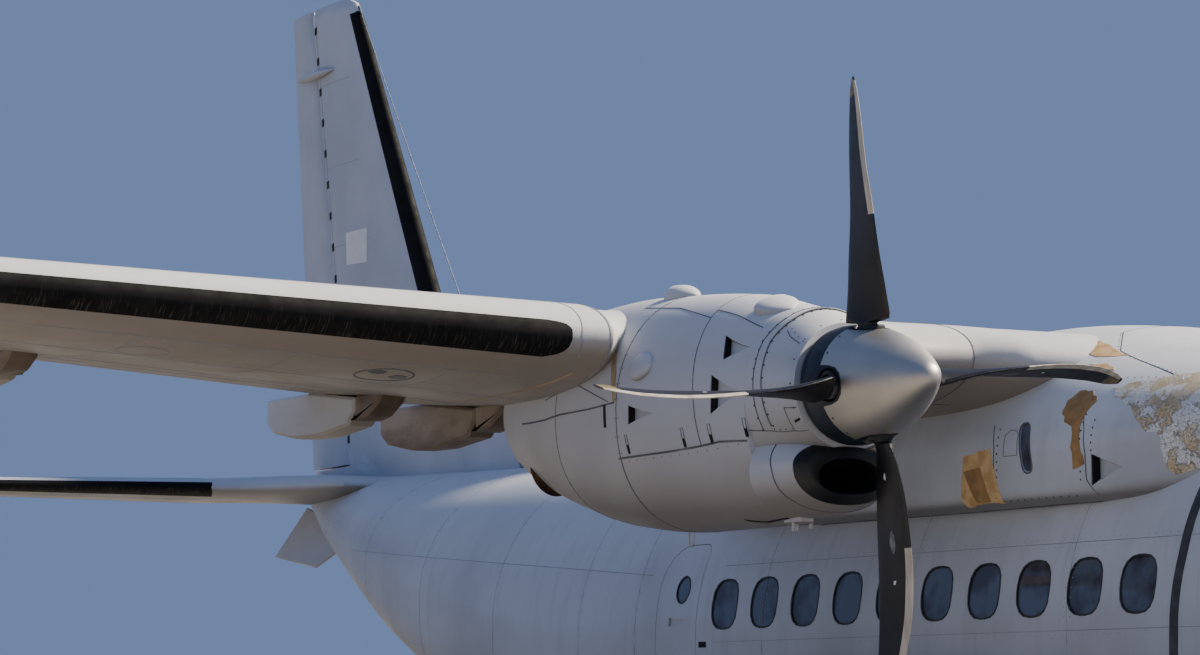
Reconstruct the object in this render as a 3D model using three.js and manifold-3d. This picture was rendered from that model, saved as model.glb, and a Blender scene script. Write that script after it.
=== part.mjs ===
// High-wing twin turboprop transport, parked on its gear with feathered propellers.
// Millimetres. Nose towards +X, port (left) side towards +Y, up +Z, ground at Z 0.
import * as THREE from "three";
import { mergeVertices } from "three/addons/utils/BufferGeometryUtils.js";
import Module from "manifold-3d";

const wasm = await Module();
wasm.setup();

// Driving dimensions
const GAP = 0.4; // between fixed neighbours
const CLEAR = 12; // between a hinged surface and what holds it
const FAR = 20000; // reach of a cutting block past the aircraft

const RADOME_X = 9960;
const FRONT_JOINT_X = 6600;
const REAR_JOINT_X = -2200;
const FLOOR_Z = 1220;
const BAY_FRONT_X = 7100;

const WING_JOINT_Y = 4100; // centre section to outer wing, outboard of the nacelle
const WING_THICKNESS = 0.18;
const WING_CAMBER = 0.014;

const ENGINE_Y = 3500;
const ENGINE_Z = 3335;
const PROPELLER_X = 5050;
const PROPELLER_Z = 3355;
const PROPELLER_RADIUS = 1675;
const SPIN_ANGLE = THREE.MathUtils.degToRad(4.8);
const COWL_REAR_X = 3210;
const COWL_FRONT_X = 4380;
const NOSE_COWL_FRONT_X = 4785;

const FLAP_INNER_Y = [1640, 4060];
const FLAP_OUTER_Y = [4135, 8600];
const AILERON_Y = [8720, 12400];
const FLAP_CHORD = 0.75; // where the flap starts, as a fraction of the wing chord
const AILERON_HINGE = 0.77;

const MAIN_WHEEL = { x: [2375, 1425], y: 1950, radius: 355.5, width: 229, rim: 200 };
const NOSE_WHEEL = { x: 8820, radius: 305, width: 196, rim: 165 };
const AXLE_RADIUS = 32;

// Finishes of the sub-parts
const FINISH = {
  paint: { color: 0xb4bac3, roughness: 0.55, metalness: 0.0 },
  spinner_metal: { color: 0xb9b4ac, roughness: 0.35, metalness: 0.9 },
  blade: { color: 0x2b2d33, roughness: 0.5, metalness: 0.0 },
  engine_metal: { color: 0x6f7173, roughness: 0.6, metalness: 0.7 },
  glazing: { color: 0x1d2226, roughness: 0.1, metalness: 0.0 },
  gear_steel: { color: 0xc9ccd0, roughness: 0.4, metalness: 0.5 },
  tyre: { color: 0x232323, roughness: 0.9, metalness: 0.0 },
  composite: { color: 0xb7bcc4, roughness: 0.55, metalness: 0.0 },
};

// Solids

// A three.js geometry as a solid, its shared vertices merged.
function solid(geometry) {
  const bare = geometry.index ? geometry.toNonIndexed() : geometry;
  bare.deleteAttribute("normal");
  bare.deleteAttribute("uv");
  const merged = mergeVertices(bare, 1e-2);
  const vertProperties = merged.attributes.position.array;
  const triVerts = new Uint32Array(merged.index.array);
  return new wasm.Manifold(new wasm.Mesh({ numProp: 3, vertProperties, triVerts }));
}

// The same solid on the other side of the aircraft.
function mirrored(shape) {
  const mesh = shape.getMesh();
  const vertProperties = Float32Array.from(mesh.vertProperties, (v, i) => (i % 3 === 1 ? -v : v));
  const triVerts = Uint32Array.from(mesh.triVerts);
  for (let i = 0; i < triVerts.length; i += 3) {
    [triVerts[i], triVerts[i + 1]] = [triVerts[i + 1], triVerts[i]];
  }
  return new wasm.Manifold(new wasm.Mesh({ numProp: 3, vertProperties, triVerts }));
}

// A closed skin through rings of points, each ring [[x, y, z], ...] of the same count.
function loft(rings) {
  const count = rings[0].length;
  const points = rings.flat();
  const faces = [];
  for (let ring = 0; ring + 1 < rings.length; ring++) {
    for (let k = 0; k < count; k++) {
      const a = ring * count + k;
      const b = ring * count + ((k + 1) % count);
      faces.push(a, b, b + count, a, b + count, a + count);
    }
  }
  for (const last of [false, true]) {
    const start = last ? (rings.length - 1) * count : 0;
    const middle = [0, 1, 2].map((i) => {
      return rings[last ? rings.length - 1 : 0].reduce((sum, p) => sum + p[i], 0) / count;
    });
    const centre = points.push(middle) - 1;
    for (let k = 0; k < count; k++) {
      const a = start + k;
      const b = start + ((k + 1) % count);
      faces.push(...(last ? [a, b, centre] : [b, a, centre]));
    }
  }
  const positions = faces.flatMap((i) => points[i]);
  const geometry = new THREE.BufferGeometry();
  geometry.setAttribute("position", new THREE.Float32BufferAttribute(positions, 3));
  const made = solid(geometry);
  if (made.volume() > 0) {
    return made;
  }
  for (let i = 0; i < positions.length; i += 9) {
    const corner = positions.splice(i, 3);
    positions.splice(i + 3, 0, ...corner);
  }
  geometry.setAttribute("position", new THREE.Float32BufferAttribute(positions, 3));
  return solid(geometry);
}

// A block from its lowest to its highest corner.
function block(low, high) {
  const size = high.map((value, i) => value - low[i]);
  const geometry = new THREE.BoxGeometry(...size);
  geometry.translate(...high.map((value, i) => (value + low[i]) / 2));
  return solid(geometry);
}

// A round bar between two points, with a radius at each end.
function bar(from, to, radius, endRadius = radius, sides = 14) {
  const start = new THREE.Vector3(...from);
  const span = new THREE.Vector3(...to).sub(start);
  const geometry = new THREE.CylinderGeometry(endRadius, radius, span.length(), sides);
  const up = new THREE.Vector3(0, 1, 0);
  geometry.applyQuaternion(new THREE.Quaternion().setFromUnitVectors(up, span.clone().normalize()));
  geometry.translate(...start.addScaledVector(span, 0.5).toArray());
  return solid(geometry);
}

// A flat outline [[x, z], ...] given a thickness from one y to another.
function plate(outline, lowY, highY) {
  const shape = new THREE.Shape(outline.map(([x, z]) => new THREE.Vector2(x, z)));
  const geometry = new THREE.ExtrudeGeometry(shape, { depth: highY - lowY, bevelEnabled: false });
  geometry.rotateX(Math.PI / 2);
  geometry.translate(0, highY, 0);
  return solid(geometry);
}

// A profile [[radius, x], ...] turned about the X axis.
function turned(profile, sides = 28) {
  const geometry = new THREE.LatheGeometry(profile.map(([r, x]) => new THREE.Vector2(r, x)), sides);
  geometry.rotateZ(-Math.PI / 2);
  return solid(geometry);
}

function joined(...shapes) {
  return shapes.reduce((sum, shape) => sum.add(shape));
}

// Bodies with a rounded section

// One section: a half ellipse above the waist and a squarer one below it.
function bodyRing({ x, y = 0, half, top, bottom, waist, square = 0.8 }, count = 32, grow = 0) {
  return Array.from({ length: count }, (_, i) => {
    const angle = (2 * Math.PI * i) / count;
    const c = Math.cos(angle);
    const s = Math.sin(angle);
    const power = s < 0 ? square : 1;
    const height = s < 0 ? waist - bottom + grow : top - waist + grow;
    return [
      x,
      y + (half + grow) * Math.sign(c) * Math.abs(c) ** power,
      waist + height * Math.sign(s) * Math.abs(s) ** power,
    ];
  });
}

function bodyLoft(table, columns, count, grow = 0) {
  return loft(
    table.map((row) => {
      const station = Object.fromEntries(columns.map((name, i) => [name, row[i]]));
      return bodyRing(station, count, grow);
    }),
  );
}

const HULL_COLUMNS = ["x", "half", "top", "bottom", "waist", "square"];
const HULL = [
  [10700, 60, 1900, 1780, 1840, 1.0],
  [10640, 260, 2085, 1590, 1840, 1.0],
  [10450, 500, 2270, 1400, 1845, 1.0],
  [10100, 760, 2440, 1225, 1870, 0.95],
  [9600, 1010, 2620, 1080, 1920, 0.9],
  [9000, 1215, 3000, 985, 1990, 0.85],
  [8450, 1345, 3330, 945, 2050, 0.8],
  [7800, 1425, 3500, 935, 2090, 0.75],
  [7000, 1450, 3550, 935, 2100, 0.72],
  [-2400, 1450, 3550, 935, 2100, 0.72],
  [-3600, 1440, 3570, 1230, 2250, 0.65],
  [-4800, 1395, 3590, 1620, 2460, 0.55],
  [-5900, 1290, 3610, 2040, 2700, 0.55],
  [-6800, 1130, 3635, 2405, 2900, 0.6],
  [-7700, 915, 3660, 2760, 3100, 0.7],
  [-8450, 690, 3695, 2985, 3270, 0.8],
  [-9050, 490, 3735, 3190, 3420, 0.9],
  [-9550, 310, 3765, 3335, 3530, 1.0],
  [-9950, 130, 3790, 3520, 3640, 1.0],
];

const BAY = [
  [BAY_FRONT_X, 1300, 3120, FLOOR_Z - 110, 2050, 0.5],
  [-2400, 1300, 3120, FLOOR_Z - 110, 2050, 0.5],
  [-3600, 1290, 3300, 1450, 2300, 0.4],
  [-4800, 1250, 3440, 1830, 2520, 0.45],
  [-5900, 1160, 3490, 2230, 2760, 0.5],
  [-6800, 1010, 3525, 2580, 2960, 0.55],
  [-7800, 770, 3560, 2930, 3200, 0.7],
];

const HULL_SIDES = 32;
const hull = bodyLoft(HULL, HULL_COLUMNS, HULL_SIDES);
const hullGrown = bodyLoft(HULL, HULL_COLUMNS, HULL_SIDES, GAP);
const floor = block([-2500, -FAR, 0], [BAY_FRONT_X + 100, FAR, FLOOR_Z]);
const bay = bodyLoft(BAY, HULL_COLUMNS, 20).subtract(floor);

function hullBetween(lowX, highX) {
  return hull.intersect(block([lowX, -FAR, -FAR], [highX, FAR, FAR]));
}

// Wings and tail surfaces

// A wing section at one y: upper side from the trailing edge forward, lower side back again.
function wingRing({ y, nose, tail, noseZ, tailZ, thick, camber = 0 }, grow = 0, steps = 10) {
  const chord = nose - tail;
  const point = (fraction, side) => {
    const c = fraction;
    const shape = 0.2969 * Math.sqrt(c) - 0.126 * c - 0.3516 * c * c + 0.2843 * c ** 3 - 0.1015 * c ** 4;
    const halfThick = 5 * thick * chord * shape + grow;
    const x = nose + grow - (chord + 2 * grow) * c;
    const bow = 4 * camber * chord * c * (1 - c);
    return [x, y, noseZ + (tailZ - noseZ) * c + bow + side * halfThick];
  };
  const fractions = Array.from({ length: steps + 1 }, (_, i) => (1 - Math.cos((Math.PI * i) / steps)) / 2);
  const upper = fractions.map((c) => point(c, 1)).reverse();
  const lower = fractions.slice(grow ? 0 : 1).map((c) => point(c, -1));
  return [...upper, ...lower];
}

const WING_ROOT = { y: WING_JOINT_Y, nose: 3200, tail: 200, noseZ: 3730, tailZ: 3573 };
const WING_TIP = { y: 12900, nose: 2140, tail: 940, noseZ: 4168, tailZ: 4105 };

// The outer wing's section at a given y, on straight lines from root to tip.
function wingStation(y) {
  const t = (y - WING_ROOT.y) / (WING_TIP.y - WING_ROOT.y);
  const blend = (key) => WING_ROOT[key] + (WING_TIP[key] - WING_ROOT[key]) * t;
  return {
    y,
    nose: blend("nose"),
    tail: blend("tail"),
    noseZ: blend("noseZ"),
    tailZ: blend("tailZ"),
    thick: WING_THICKNESS,
    camber: WING_CAMBER,
  };
}

const WING_TIP_ROWS = [
  // y, share of full thickness, pull back of the nose
  [12650, 1, 0],
  [12820, 0.8, 40],
  [12905, 0.4, 160],
];

function outerWing(grow = 0) {
  const root = { ...wingStation(WING_JOINT_Y), y: WING_JOINT_Y + (grow ? -grow : GAP) };
  const tips = WING_TIP_ROWS.map(([y, share, back]) => {
    const station = wingStation(y);
    return { ...station, nose: station.nose - back, thick: station.thick * share };
  });
  return loft([root, ...tips].map((station) => wingRing(station, grow)));
}

function centreWing(grow = 0) {
  const station = wingStation(WING_JOINT_Y);
  const end = WING_JOINT_Y;
  return loft([-end, end].map((y) => wingRing({ ...station, y }, grow)));
}

// A point of the chord at a fraction from the nose, at one station, with a drop below it.
function chordPoint(station, fraction, drop = 0) {
  const x = station.nose + (station.tail - station.nose) * fraction;
  const z = station.noseZ + (station.tailZ - station.noseZ) * fraction - drop;
  return [x, station.y, z];
}

// A block behind a hinge line, its ends square to that line.
function hingeBlock(from, to, { ahead = 0, longer = 0, height = 900 }) {
  const start = new THREE.Vector3(...from);
  const along = new THREE.Vector3(...to).sub(start);
  const length = along.length();
  along.normalize();
  const back = new THREE.Vector3(0, 0, 1).cross(along).normalize();
  const up = along.clone().cross(back).negate();
  const depth = 3000;
  const geometry = new THREE.BoxGeometry(length + 2 * longer, depth + ahead, 2 * height);
  geometry.translate(length / 2, (depth - ahead) / 2, 0);
  const turn = new THREE.Matrix4().makeBasis(along, back, up.negate());
  geometry.applyMatrix4(turn.setPosition(start));
  return solid(geometry);
}

// Splits a surface at a hinge that lies inside it. The moving piece gets a round nose.
function splitAtHinge(surface, from, to, radiusFrom, radiusTo, shorten) {
  const start = new THREE.Vector3(...from);
  const end = new THREE.Vector3(...to);
  const along = end.clone().sub(start).normalize();
  const noseFrom = start.clone().addScaledVector(along, 1).toArray();
  const noseTo = end.clone().addScaledVector(along, -1).toArray();
  const nose = bar(noseFrom, noseTo, radiusFrom, radiusTo);
  const behind = surface.intersect(hingeBlock(from, to, { longer: 0 }));
  const moving = behind.add(nose);
  const room = Math.max(radiusFrom, radiusTo) + CLEAR;
  const fixed = surface.subtract(hingeBlock(from, to, { ahead: room, longer: shorten }));
  return { moving, fixed };
}

// Half the thickness of a station at a fraction of the chord.
function halfThickness(station, fraction) {
  const ring = wingRing({ ...station, camber: 0, noseZ: 0, tailZ: 0 }, 0, 40);
  const x = station.nose + (station.tail - station.nose) * fraction;
  const near = ring.filter(([px]) => Math.abs(px - x) < 0.06 * (station.nose - station.tail));
  return Math.min(...near.map(([, , z]) => Math.abs(z)));
}

// Flap hinge fairings: the front is fixed under the wing, the rear is part of the flap.
const FAIRING_HALF = 95;
const FAIRING_FRONT = [
  // behind the flap's leading edge (+ is forward), below the hinge fairing's datum
  [430, 175],
  [15, 175],
  [15, 30],
  [-60, 15],
  [40, 8],
];
const FAIRING_REAR = [
  [0, 160],
  [0, 75],
  [-95, -15],
  [-560, -55],
  [-930, -50],
  [-1300, 10],
  [-1390, 70],
  [-1390, 240],
  [-700, 240],
];

// One fairing part at a y, from a flap nose point and the datum below the wing.
function fairing(outline, y, noseX, datumZ, scale = 1) {
  const points = outline.map(([dx, dz]) => [noseX + dx * scale, datumZ + dz * scale]);
  return plate(points, y - FAIRING_HALF, y + FAIRING_HALF);
}

// Nacelles

const NACELLE_COLUMNS = ["x", "half", "top", "bottom", "waist", "square"];
const NACELLE = [
  [COWL_FRONT_X, 425, 3840, 2655, 3335, 0.9],
  [3900, 525, 3945, 2625, 3330, 0.85],
  [COWL_REAR_X, 590, 4005, 2625, 3320, 0.85],
  [2680, 590, 4030, 2670, 3320, 0.85],
  [2180, 560, 4015, 2775, 3330, 0.9],
  [1800, 500, 3960, 2875, 3350, 0.95],
  [1400, 390, 3860, 3005, 3400, 1.0],
  [1120, 230, 3780, 3180, 3450, 1.0],
];
const NACELLE_SIDES = 24;
const COWL_WALL = 35;

function nacelleLoft(table, grow = 0) {
  const columns = [...NACELLE_COLUMNS, "y"];
  return bodyLoft(table.map((row) => [...row, ENGINE_Y]), columns, NACELLE_SIDES, grow);
}

// The round front ring about the propeller shaft, and the chin with the intake below it.
function noseCowl() {
  const ringTable = [
    [COWL_FRONT_X + GAP, 425, 3840, 2850, 3335, 0.9],
    [4600, 402, 3790, 2905, 3340, 1.0],
    [4740, 370, 3735, 2970, 3350, 1.0],
    [NOSE_COWL_FRONT_X, 350, 3705, 3005, PROPELLER_Z, 1.0],
  ];
  const chinTable = [
    [COWL_FRONT_X + GAP, 395, 3200, 2655, 2900, 0.9],
    [4560, 375, 3140, 2668, 2905, 0.9],
    [4690, 348, 3085, 2690, 2915, 0.9],
    [4750, 322, 3050, 2718, 2920, 0.9],
    [NOSE_COWL_FRONT_X, 265, 3020, 2752, 2920, 0.9],
  ];
  const ductTable = [
    [COWL_FRONT_X - 200, 180, 2950, 2785, 2870, 0.8],
    [4700, 180, 2950, 2785, 2870, 0.8],
    [4760, 188, 2955, 2778, 2870, 0.8],
    [4800, 212, 2972, 2762, 2870, 0.8],
  ];
  const bore = bar([COWL_FRONT_X - 100, ENGINE_Y, PROPELLER_Z], [5200, ENGINE_Y, PROPELLER_Z], 300, 300, 20);
  const outside = joined(nacelleLoft(ringTable), nacelleLoft(chinTable));
  return outside.subtract(bore).subtract(nacelleLoft(ductTable));
}

// The engine is one plain block with its exhaust pipe.
const ENGINE_BLOCK = { front: 4300, rear: 2620, radius: 300 };
const EXHAUST = {
  from: [2700, ENGINE_Y + 90, 3260],
  to: [1780, ENGINE_Y + 250, 3060],
  radius: 165,
  wall: 14,
};

function engine() {
  const { front, rear, radius } = ENGINE_BLOCK;
  const core = bar([rear, ENGINE_Y, ENGINE_Z], [front, ENGINE_Y, ENGINE_Z], radius * 0.85, radius, 16);
  const pipe = bar(EXHAUST.from, EXHAUST.to, EXHAUST.radius);
  const boreRadius = EXHAUST.radius - EXHAUST.wall;
  const mouth = bar([2250, ENGINE_Y + 168, 3162], [1680, ENGINE_Y + 267, 3038], boreRadius);
  return core.add(pipe.subtract(mouth));
}

// Propellers, about their own shaft along X

const BLADE_COLUMNS = ["r", "lead", "chord", "thick", "angle", "bend"];
const BLADE = [
  // radius, leading edge ahead of the pitch axis, chord, thickness, angle from the disc in degrees, bend
  [150, 55, 110, 110, 112, 0],
  [322, 55, 110, 108, 112, 20],
  [336, 150, 286, 84, 112, 25],
  [440, 164, 294, 62, 104, 27],
  [600, 173, 298, 46, 94.5, 27],
  [900, 170, 283, 30, 84, 18],
  [1200, 139, 252, 21, 77.5, 10],
  [1450, 86, 205, 15, 74.5, -8],
  [1600, 12, 144, 11, 71.5, -24],
  [PROPELLER_RADIUS, -52, 60, 7, 68, -29],
];

function bladeRing({ r, lead, chord, thick, angle, bend }) {
  const steps = 10;
  const turn = THREE.MathUtils.degToRad(angle);
  return Array.from({ length: steps }, (_, i) => {
    const a = (2 * Math.PI * i) / steps;
    const along = lead - ((1 - Math.cos(a)) * chord) / 2;
    const across = (Math.sin(a) * thick) / 2;
    const forward = along * Math.sin(turn) - across * Math.cos(turn);
    const sideways = along * Math.cos(turn) + across * Math.sin(turn);
    return [forward, -sideways - bend, r];
  });
}

function bladeShape() {
  return loft(
    BLADE.map((row) => bladeRing(Object.fromEntries(BLADE_COLUMNS.map((name, i) => [name, row[i]])))),
  );
}

const SPINNER_BASE = -200; // from the propeller plane
const SPINNER_TIP = 650;
const SPINNER_RADIUS = 328;
const HUB_RADIUS = 165;

function turnedAboutX(shape, angle) {
  const mesh = shape.getMesh();
  const c = Math.cos(angle);
  const s = Math.sin(angle);
  const source = mesh.vertProperties;
  const vertProperties = new Float32Array(source.length);
  for (let i = 0; i < source.length; i += 3) {
    vertProperties[i] = source[i];
    vertProperties[i + 1] = source[i + 1] * c - source[i + 2] * s;
    vertProperties[i + 2] = source[i + 1] * s + source[i + 2] * c;
  }
  return new wasm.Manifold(new wasm.Mesh({ numProp: 3, vertProperties, triVerts: mesh.triVerts }));
}

const QUARTERS = [0, 1, 2, 3].map((i) => (i * Math.PI) / 2);

function propellerShape() {
  const blade = bladeShape();
  const hub = bar([-120, 0, 0], [140, 0, 0], HUB_RADIUS, HUB_RADIUS, 18);
  const shaft = bar([-740, 0, 0], [0, 0, 0], 80, 80);
  const plateRadius = SPINNER_RADIUS - 4;
  const backplate = bar([-250, 0, 0], [SPINNER_BASE - GAP, 0, 0], plateRadius, plateRadius, 28);
  return joined(hub, shaft, backplate, ...QUARTERS.map((angle) => turnedAboutX(blade, angle)));
}

function spinnerShape() {
  const profile = Array.from({ length: 9 }, (_, i) => {
    const t = i / 8;
    const radius = SPINNER_RADIUS * (1 - t ** 2) ** 1.1;
    return [radius, SPINNER_BASE + (SPINNER_TIP - SPINNER_BASE) * t];
  });
  const cone = turned([[0, SPINNER_BASE], ...profile]);
  const hubRoom = bar([SPINNER_BASE - 10, 0, 0], [160, 0, 0], HUB_RADIUS + 12, HUB_RADIUS + 12, 18);
  const shank = bar([0, 0, 100], [0, 0, 400], 92);
  const cored = cone.subtract(hubRoom);
  return QUARTERS.reduce((shape, angle) => shape.subtract(turnedAboutX(shank, angle)), cored);
}

// Wheels, about their own axle along Y

function tyreShape({ radius, width, rim }) {
  const half = width / 2;
  const side = radius - rim;
  const profile = [
    [rim, -half * 0.72],
    [rim + side * 0.4, -half],
    [rim + side * 0.8, -half * 0.92],
    [radius, -half * 0.4],
    [radius, half * 0.4],
    [rim + side * 0.8, half * 0.92],
    [rim + side * 0.4, half],
    [rim, half * 0.72],
    [rim, -half * 0.72],
  ];
  return solid(new THREE.LatheGeometry(profile.map(([r, y]) => new THREE.Vector2(r, y)), 22));
}

function hubShape({ width, rim }) {
  const half = width / 2;
  const profile = [
    [AXLE_RADIUS + 1, -half * 0.8],
    [rim * 0.45, -half * 0.8],
    [rim * 0.7, -half * 0.35],
    [rim - GAP, -half * 0.8],
    [rim - GAP, half * 0.8],
    [rim * 0.7, half * 0.35],
    [rim * 0.45, half * 0.8],
    [AXLE_RADIUS + 1, half * 0.8],
    [AXLE_RADIUS + 1, -half * 0.8],
  ];
  return solid(new THREE.LatheGeometry(profile.map(([r, y]) => new THREE.Vector2(r, y)), 22));
}

// Assembly helpers

const aircraft = new THREE.Group();

function addMesh(parent, name, shape, finish) {
  const mesh = shape.getMesh();
  const geometry = new THREE.BufferGeometry();
  geometry.setAttribute("position", new THREE.Float32BufferAttribute(mesh.vertProperties, 3));
  geometry.setIndex(new THREE.Uint32BufferAttribute(mesh.triVerts, 1));
  geometry.computeVertexNormals();
  const made = new THREE.Mesh(geometry, new THREE.MeshStandardMaterial(FINISH[finish]));
  made.name = name;
  parent.add(made);
  return made;
}

// A port piece and its mirror image, each cut on its own side by what it meets.
function addPair(name, shape, finish, ...rooms) {
  const sides = { left: shape, right: mirrored(shape) };
  for (const [side, whole] of Object.entries(sides)) {
    const cut = rooms.reduce((rest, room) => rest.subtract(room), whole);
    addMesh(aircraft, `${name}_${side}`, cut, finish);
  }
}

// Fuselage

// Both are wedges of the hull below a sloping top. A lean pulls an end's foot aft, mm for each mm down.
const RAMP = {
  front: -2560,
  rear: -5395,
  frontHalf: 1170,
  rearHalf: 1170,
  frontTop: 1215,
  rearTop: 1990,
  frontLean: 0,
  rearLean: 0.39,
};
const REAR_DOOR = {
  front: -5410,
  rear: -7640,
  frontHalf: 1040,
  rearHalf: 640,
  frontTop: 1995,
  rearTop: 2840,
  frontLean: 0.39,
  rearLean: 0,
};

function wedge(spec, grow = 0, raise = 0) {
  const depth = 700;
  const taper = (spec.frontHalf - spec.rearHalf) / (spec.front - spec.rear);
  const half = (x) => spec.frontHalf - taper * (spec.front - x) + grow;
  const ring = (x, top, lean) => {
    const footX = x - lean * depth;
    const headX = x + lean * raise;
    return [
      [footX, -half(footX), top - depth],
      [footX, half(footX), top - depth],
      [headX, half(headX), top + raise],
      [headX, -half(headX), top + raise],
    ];
  };
  return loft([
    ring(spec.front + grow, spec.frontTop, spec.frontLean),
    ring(spec.rear - grow, spec.rearTop, spec.rearLean),
  ]);
}

const SIDE_DOOR = {
  low: [-1045, FLOOR_Z + 2],
  high: [-485, 2745],
  innerY: 1000,
  rearRadius: 270,
  frontRadius: 70,
  gap: 5,
};

// The outline of a rear side door, with rounded upper corners.
function sideDoorOutline(grow = 0) {
  const [lowX, lowZ] = SIDE_DOOR.low;
  const [highX, highZ] = SIDE_DOOR.high;
  const arc = (centreX, radius, from) =>
    Array.from({ length: 5 }, (_, i) => {
      const a = from + (i * Math.PI) / 8;
      return [centreX + (radius + grow) * Math.cos(a), highZ - radius + (radius + grow) * Math.sin(a)];
    });
  return [
    [lowX - grow, lowZ - grow],
    [highX + grow, lowZ - grow],
    ...arc(highX - SIDE_DOOR.frontRadius, SIDE_DOOR.frontRadius, 0),
    ...arc(lowX + SIDE_DOOR.rearRadius, SIDE_DOOR.rearRadius, Math.PI / 2),
  ];
}

const NOSE_BAY = { low: [8380, -215], high: [9440, 215], top: 1520 };
const NOSE_DOOR = { low: 640, thickness: 22 };

function addFuselage() {
  addMesh(aircraft, "radome", hullBetween(RADOME_X + GAP, FAR), "composite");

  const noseBay = block(
    [NOSE_BAY.low[0], NOSE_BAY.low[1], 0],
    [NOSE_BAY.high[0], NOSE_BAY.high[1], NOSE_BAY.top],
  );
  const glazing = windscreenBand();
  let front = hullBetween(FRONT_JOINT_X, RADOME_X).subtract(bay).subtract(noseBay).subtract(glazing.room);
  for (const side of [-1, 1]) {
    const inner = side * (NOSE_BAY.high[1] + 2);
    const outer = inner + side * NOSE_DOOR.thickness;
    const low = [NOSE_BAY.low[0] + 20, Math.min(inner, outer), NOSE_DOOR.low];
    const high = [NOSE_BAY.high[0] - 20, Math.max(inner, outer), 1150];
    front = front.add(block(low, high));
  }
  addMesh(aircraft, "fuselage_front", front, "paint");
  addMesh(aircraft, "windscreen", glazing.panes, "glazing");

  const doorRoom = plate(sideDoorOutline(SIDE_DOOR.gap), SIDE_DOOR.innerY - SIDE_DOOR.gap, FAR);
  const doorCut = plate(sideDoorOutline(), SIDE_DOOR.innerY, FAR);
  const tube = hullBetween(REAR_JOINT_X + GAP, FRONT_JOINT_X - GAP).subtract(bay);
  const wall = tube.intersect(doorCut);
  addMesh(aircraft, "fuselage_centre", tube.subtract(doorRoom).subtract(mirrored(doorRoom)), "paint");
  addPair("side_door", wall, "paint");

  const rampRoom = wedge(RAMP, CLEAR, 320);
  const doorOpening = wedge(REAR_DOOR, CLEAR, 320);
  const rear = hullBetween(-FAR, REAR_JOINT_X).subtract(bay).subtract(rampRoom).subtract(doorOpening);
  addMesh(aircraft, "fuselage_rear", rear, "paint");
  addMesh(aircraft, "ramp", hull.intersect(wedge(RAMP)), "paint");
  addMesh(aircraft, "rear_door", hull.intersect(wedge(REAR_DOOR)), "paint");
}

// The cockpit glazing: a band of the skin within a side outline, let into the hull.
const WINDSCREEN_THICKNESS = 45;

function windscreenBand() {
  const outline = (grow) => [
    [9640 + grow, 2560 - grow],
    [9640 + grow, 2700],
    [8780, 3230 + grow],
    [8300 - grow, 3020],
    [8300 - grow, 2560 - grow],
  ];
  const inner = bodyLoft(HULL, HULL_COLUMNS, HULL_SIDES, -WINDSCREEN_THICKNESS);
  const shell = (grow) => plate(outline(grow), -FAR, FAR).intersect(hullGrown).subtract(inner);
  const panes = plate(outline(-GAP), -FAR, FAR).intersect(hull);
  const innerPanes = bodyLoft(HULL, HULL_COLUMNS, HULL_SIDES, GAP - WINDSCREEN_THICKNESS);
  return { room: shell(0), panes: panes.subtract(innerPanes) };
}

// The roof fairing that carries the wing

const FAIRING_COLUMNS = ["x", "half", "top", "bottom", "waist", "square"];
const ROOF_FAIRING = [
  [6150, 500, 3560, 2900, 3200, 0.6],
  [5500, 900, 3640, 2860, 3200, 0.4],
  [4900, 1150, 3705, 2830, 3180, 0.3],
  [4300, 1330, 3780, 2810, 3150, 0.2],
  [3700, 1400, 3880, 2810, 3120, 0.18],
  [3200, 1420, 3990, 2810, 3120, 0.18],
  [2300, 1430, 4060, 2810, 3120, 0.18],
  [1200, 1430, 4040, 2810, 3120, 0.18],
  [200, 1410, 3900, 2830, 3120, 0.25],
  [-900, 1200, 3720, 2950, 3150, 0.4],
  [-2100, 700, 3570, 3100, 3250, 0.6],
];

// Landing gear

const SPONSON_COLUMNS = ["x", "y", "half", "top", "bottom", "waist", "square"];
const SPONSON = [
  [4350, 1330, 120, 1480, 1130, 1300, 1.0],
  [3900, 1420, 380, 1700, 840, 1300, 0.8],
  [3200, 1480, 590, 1840, 660, 1300, 0.7],
  [2500, 1500, 670, 1870, 610, 1300, 0.65],
  [900, 1500, 670, 1870, 610, 1300, 0.65],
  [100, 1480, 600, 1840, 680, 1300, 0.7],
  [-700, 1420, 420, 1740, 850, 1300, 0.8],
  [-1400, 1330, 130, 1500, 1170, 1320, 1.0],
];
const WELL = { low: [960, 1660], high: [2860, 2110], top: 1060 };

function mainLeg() {
  const armY = 1745;
  const [frontX, rearX] = MAIN_WHEEL.x;
  const z = MAIN_WHEEL.radius;
  const beam = block([rearX - 60, WELL.low[1] + GAP, 800], [frontX + 460, 1800, 960]);
  const pieces = [beam];
  for (const x of MAIN_WHEEL.x) {
    pieces.push(bar([x + 380, armY, 850], [x, armY, z], 62, 46));
    pieces.push(bar([x, armY - 55, z], [x, MAIN_WHEEL.y + 105, z], AXLE_RADIUS, AXLE_RADIUS));
    pieces.push(bar([x + 70, armY, 430], [x + 20, armY, 900], 40, 40));
    pieces.push(bar([x, armY - 50, z], [x, armY + 55, z], 60, 60));
  }
  return joined(...pieces);
}

function noseLeg() {
  const x = NOSE_WHEEL.x;
  const strut = bar([x, 0, 740], [x, 0, NOSE_BAY.top - GAP], 62, 70, 20);
  const drag = bar([x, 0, 1000], [x + 480, 0, 1400], 30, 30);
  const trunnion = bar([x, NOSE_BAY.low[1] + GAP, 1400], [x, NOSE_BAY.high[1] - GAP, 1400], 40, 40);
  const brace = bar([x + 480, -150, 1400], [x + 480, 150, 1400], 35, 35);
  return joined(strut, drag, trunnion, brace);
}

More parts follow.
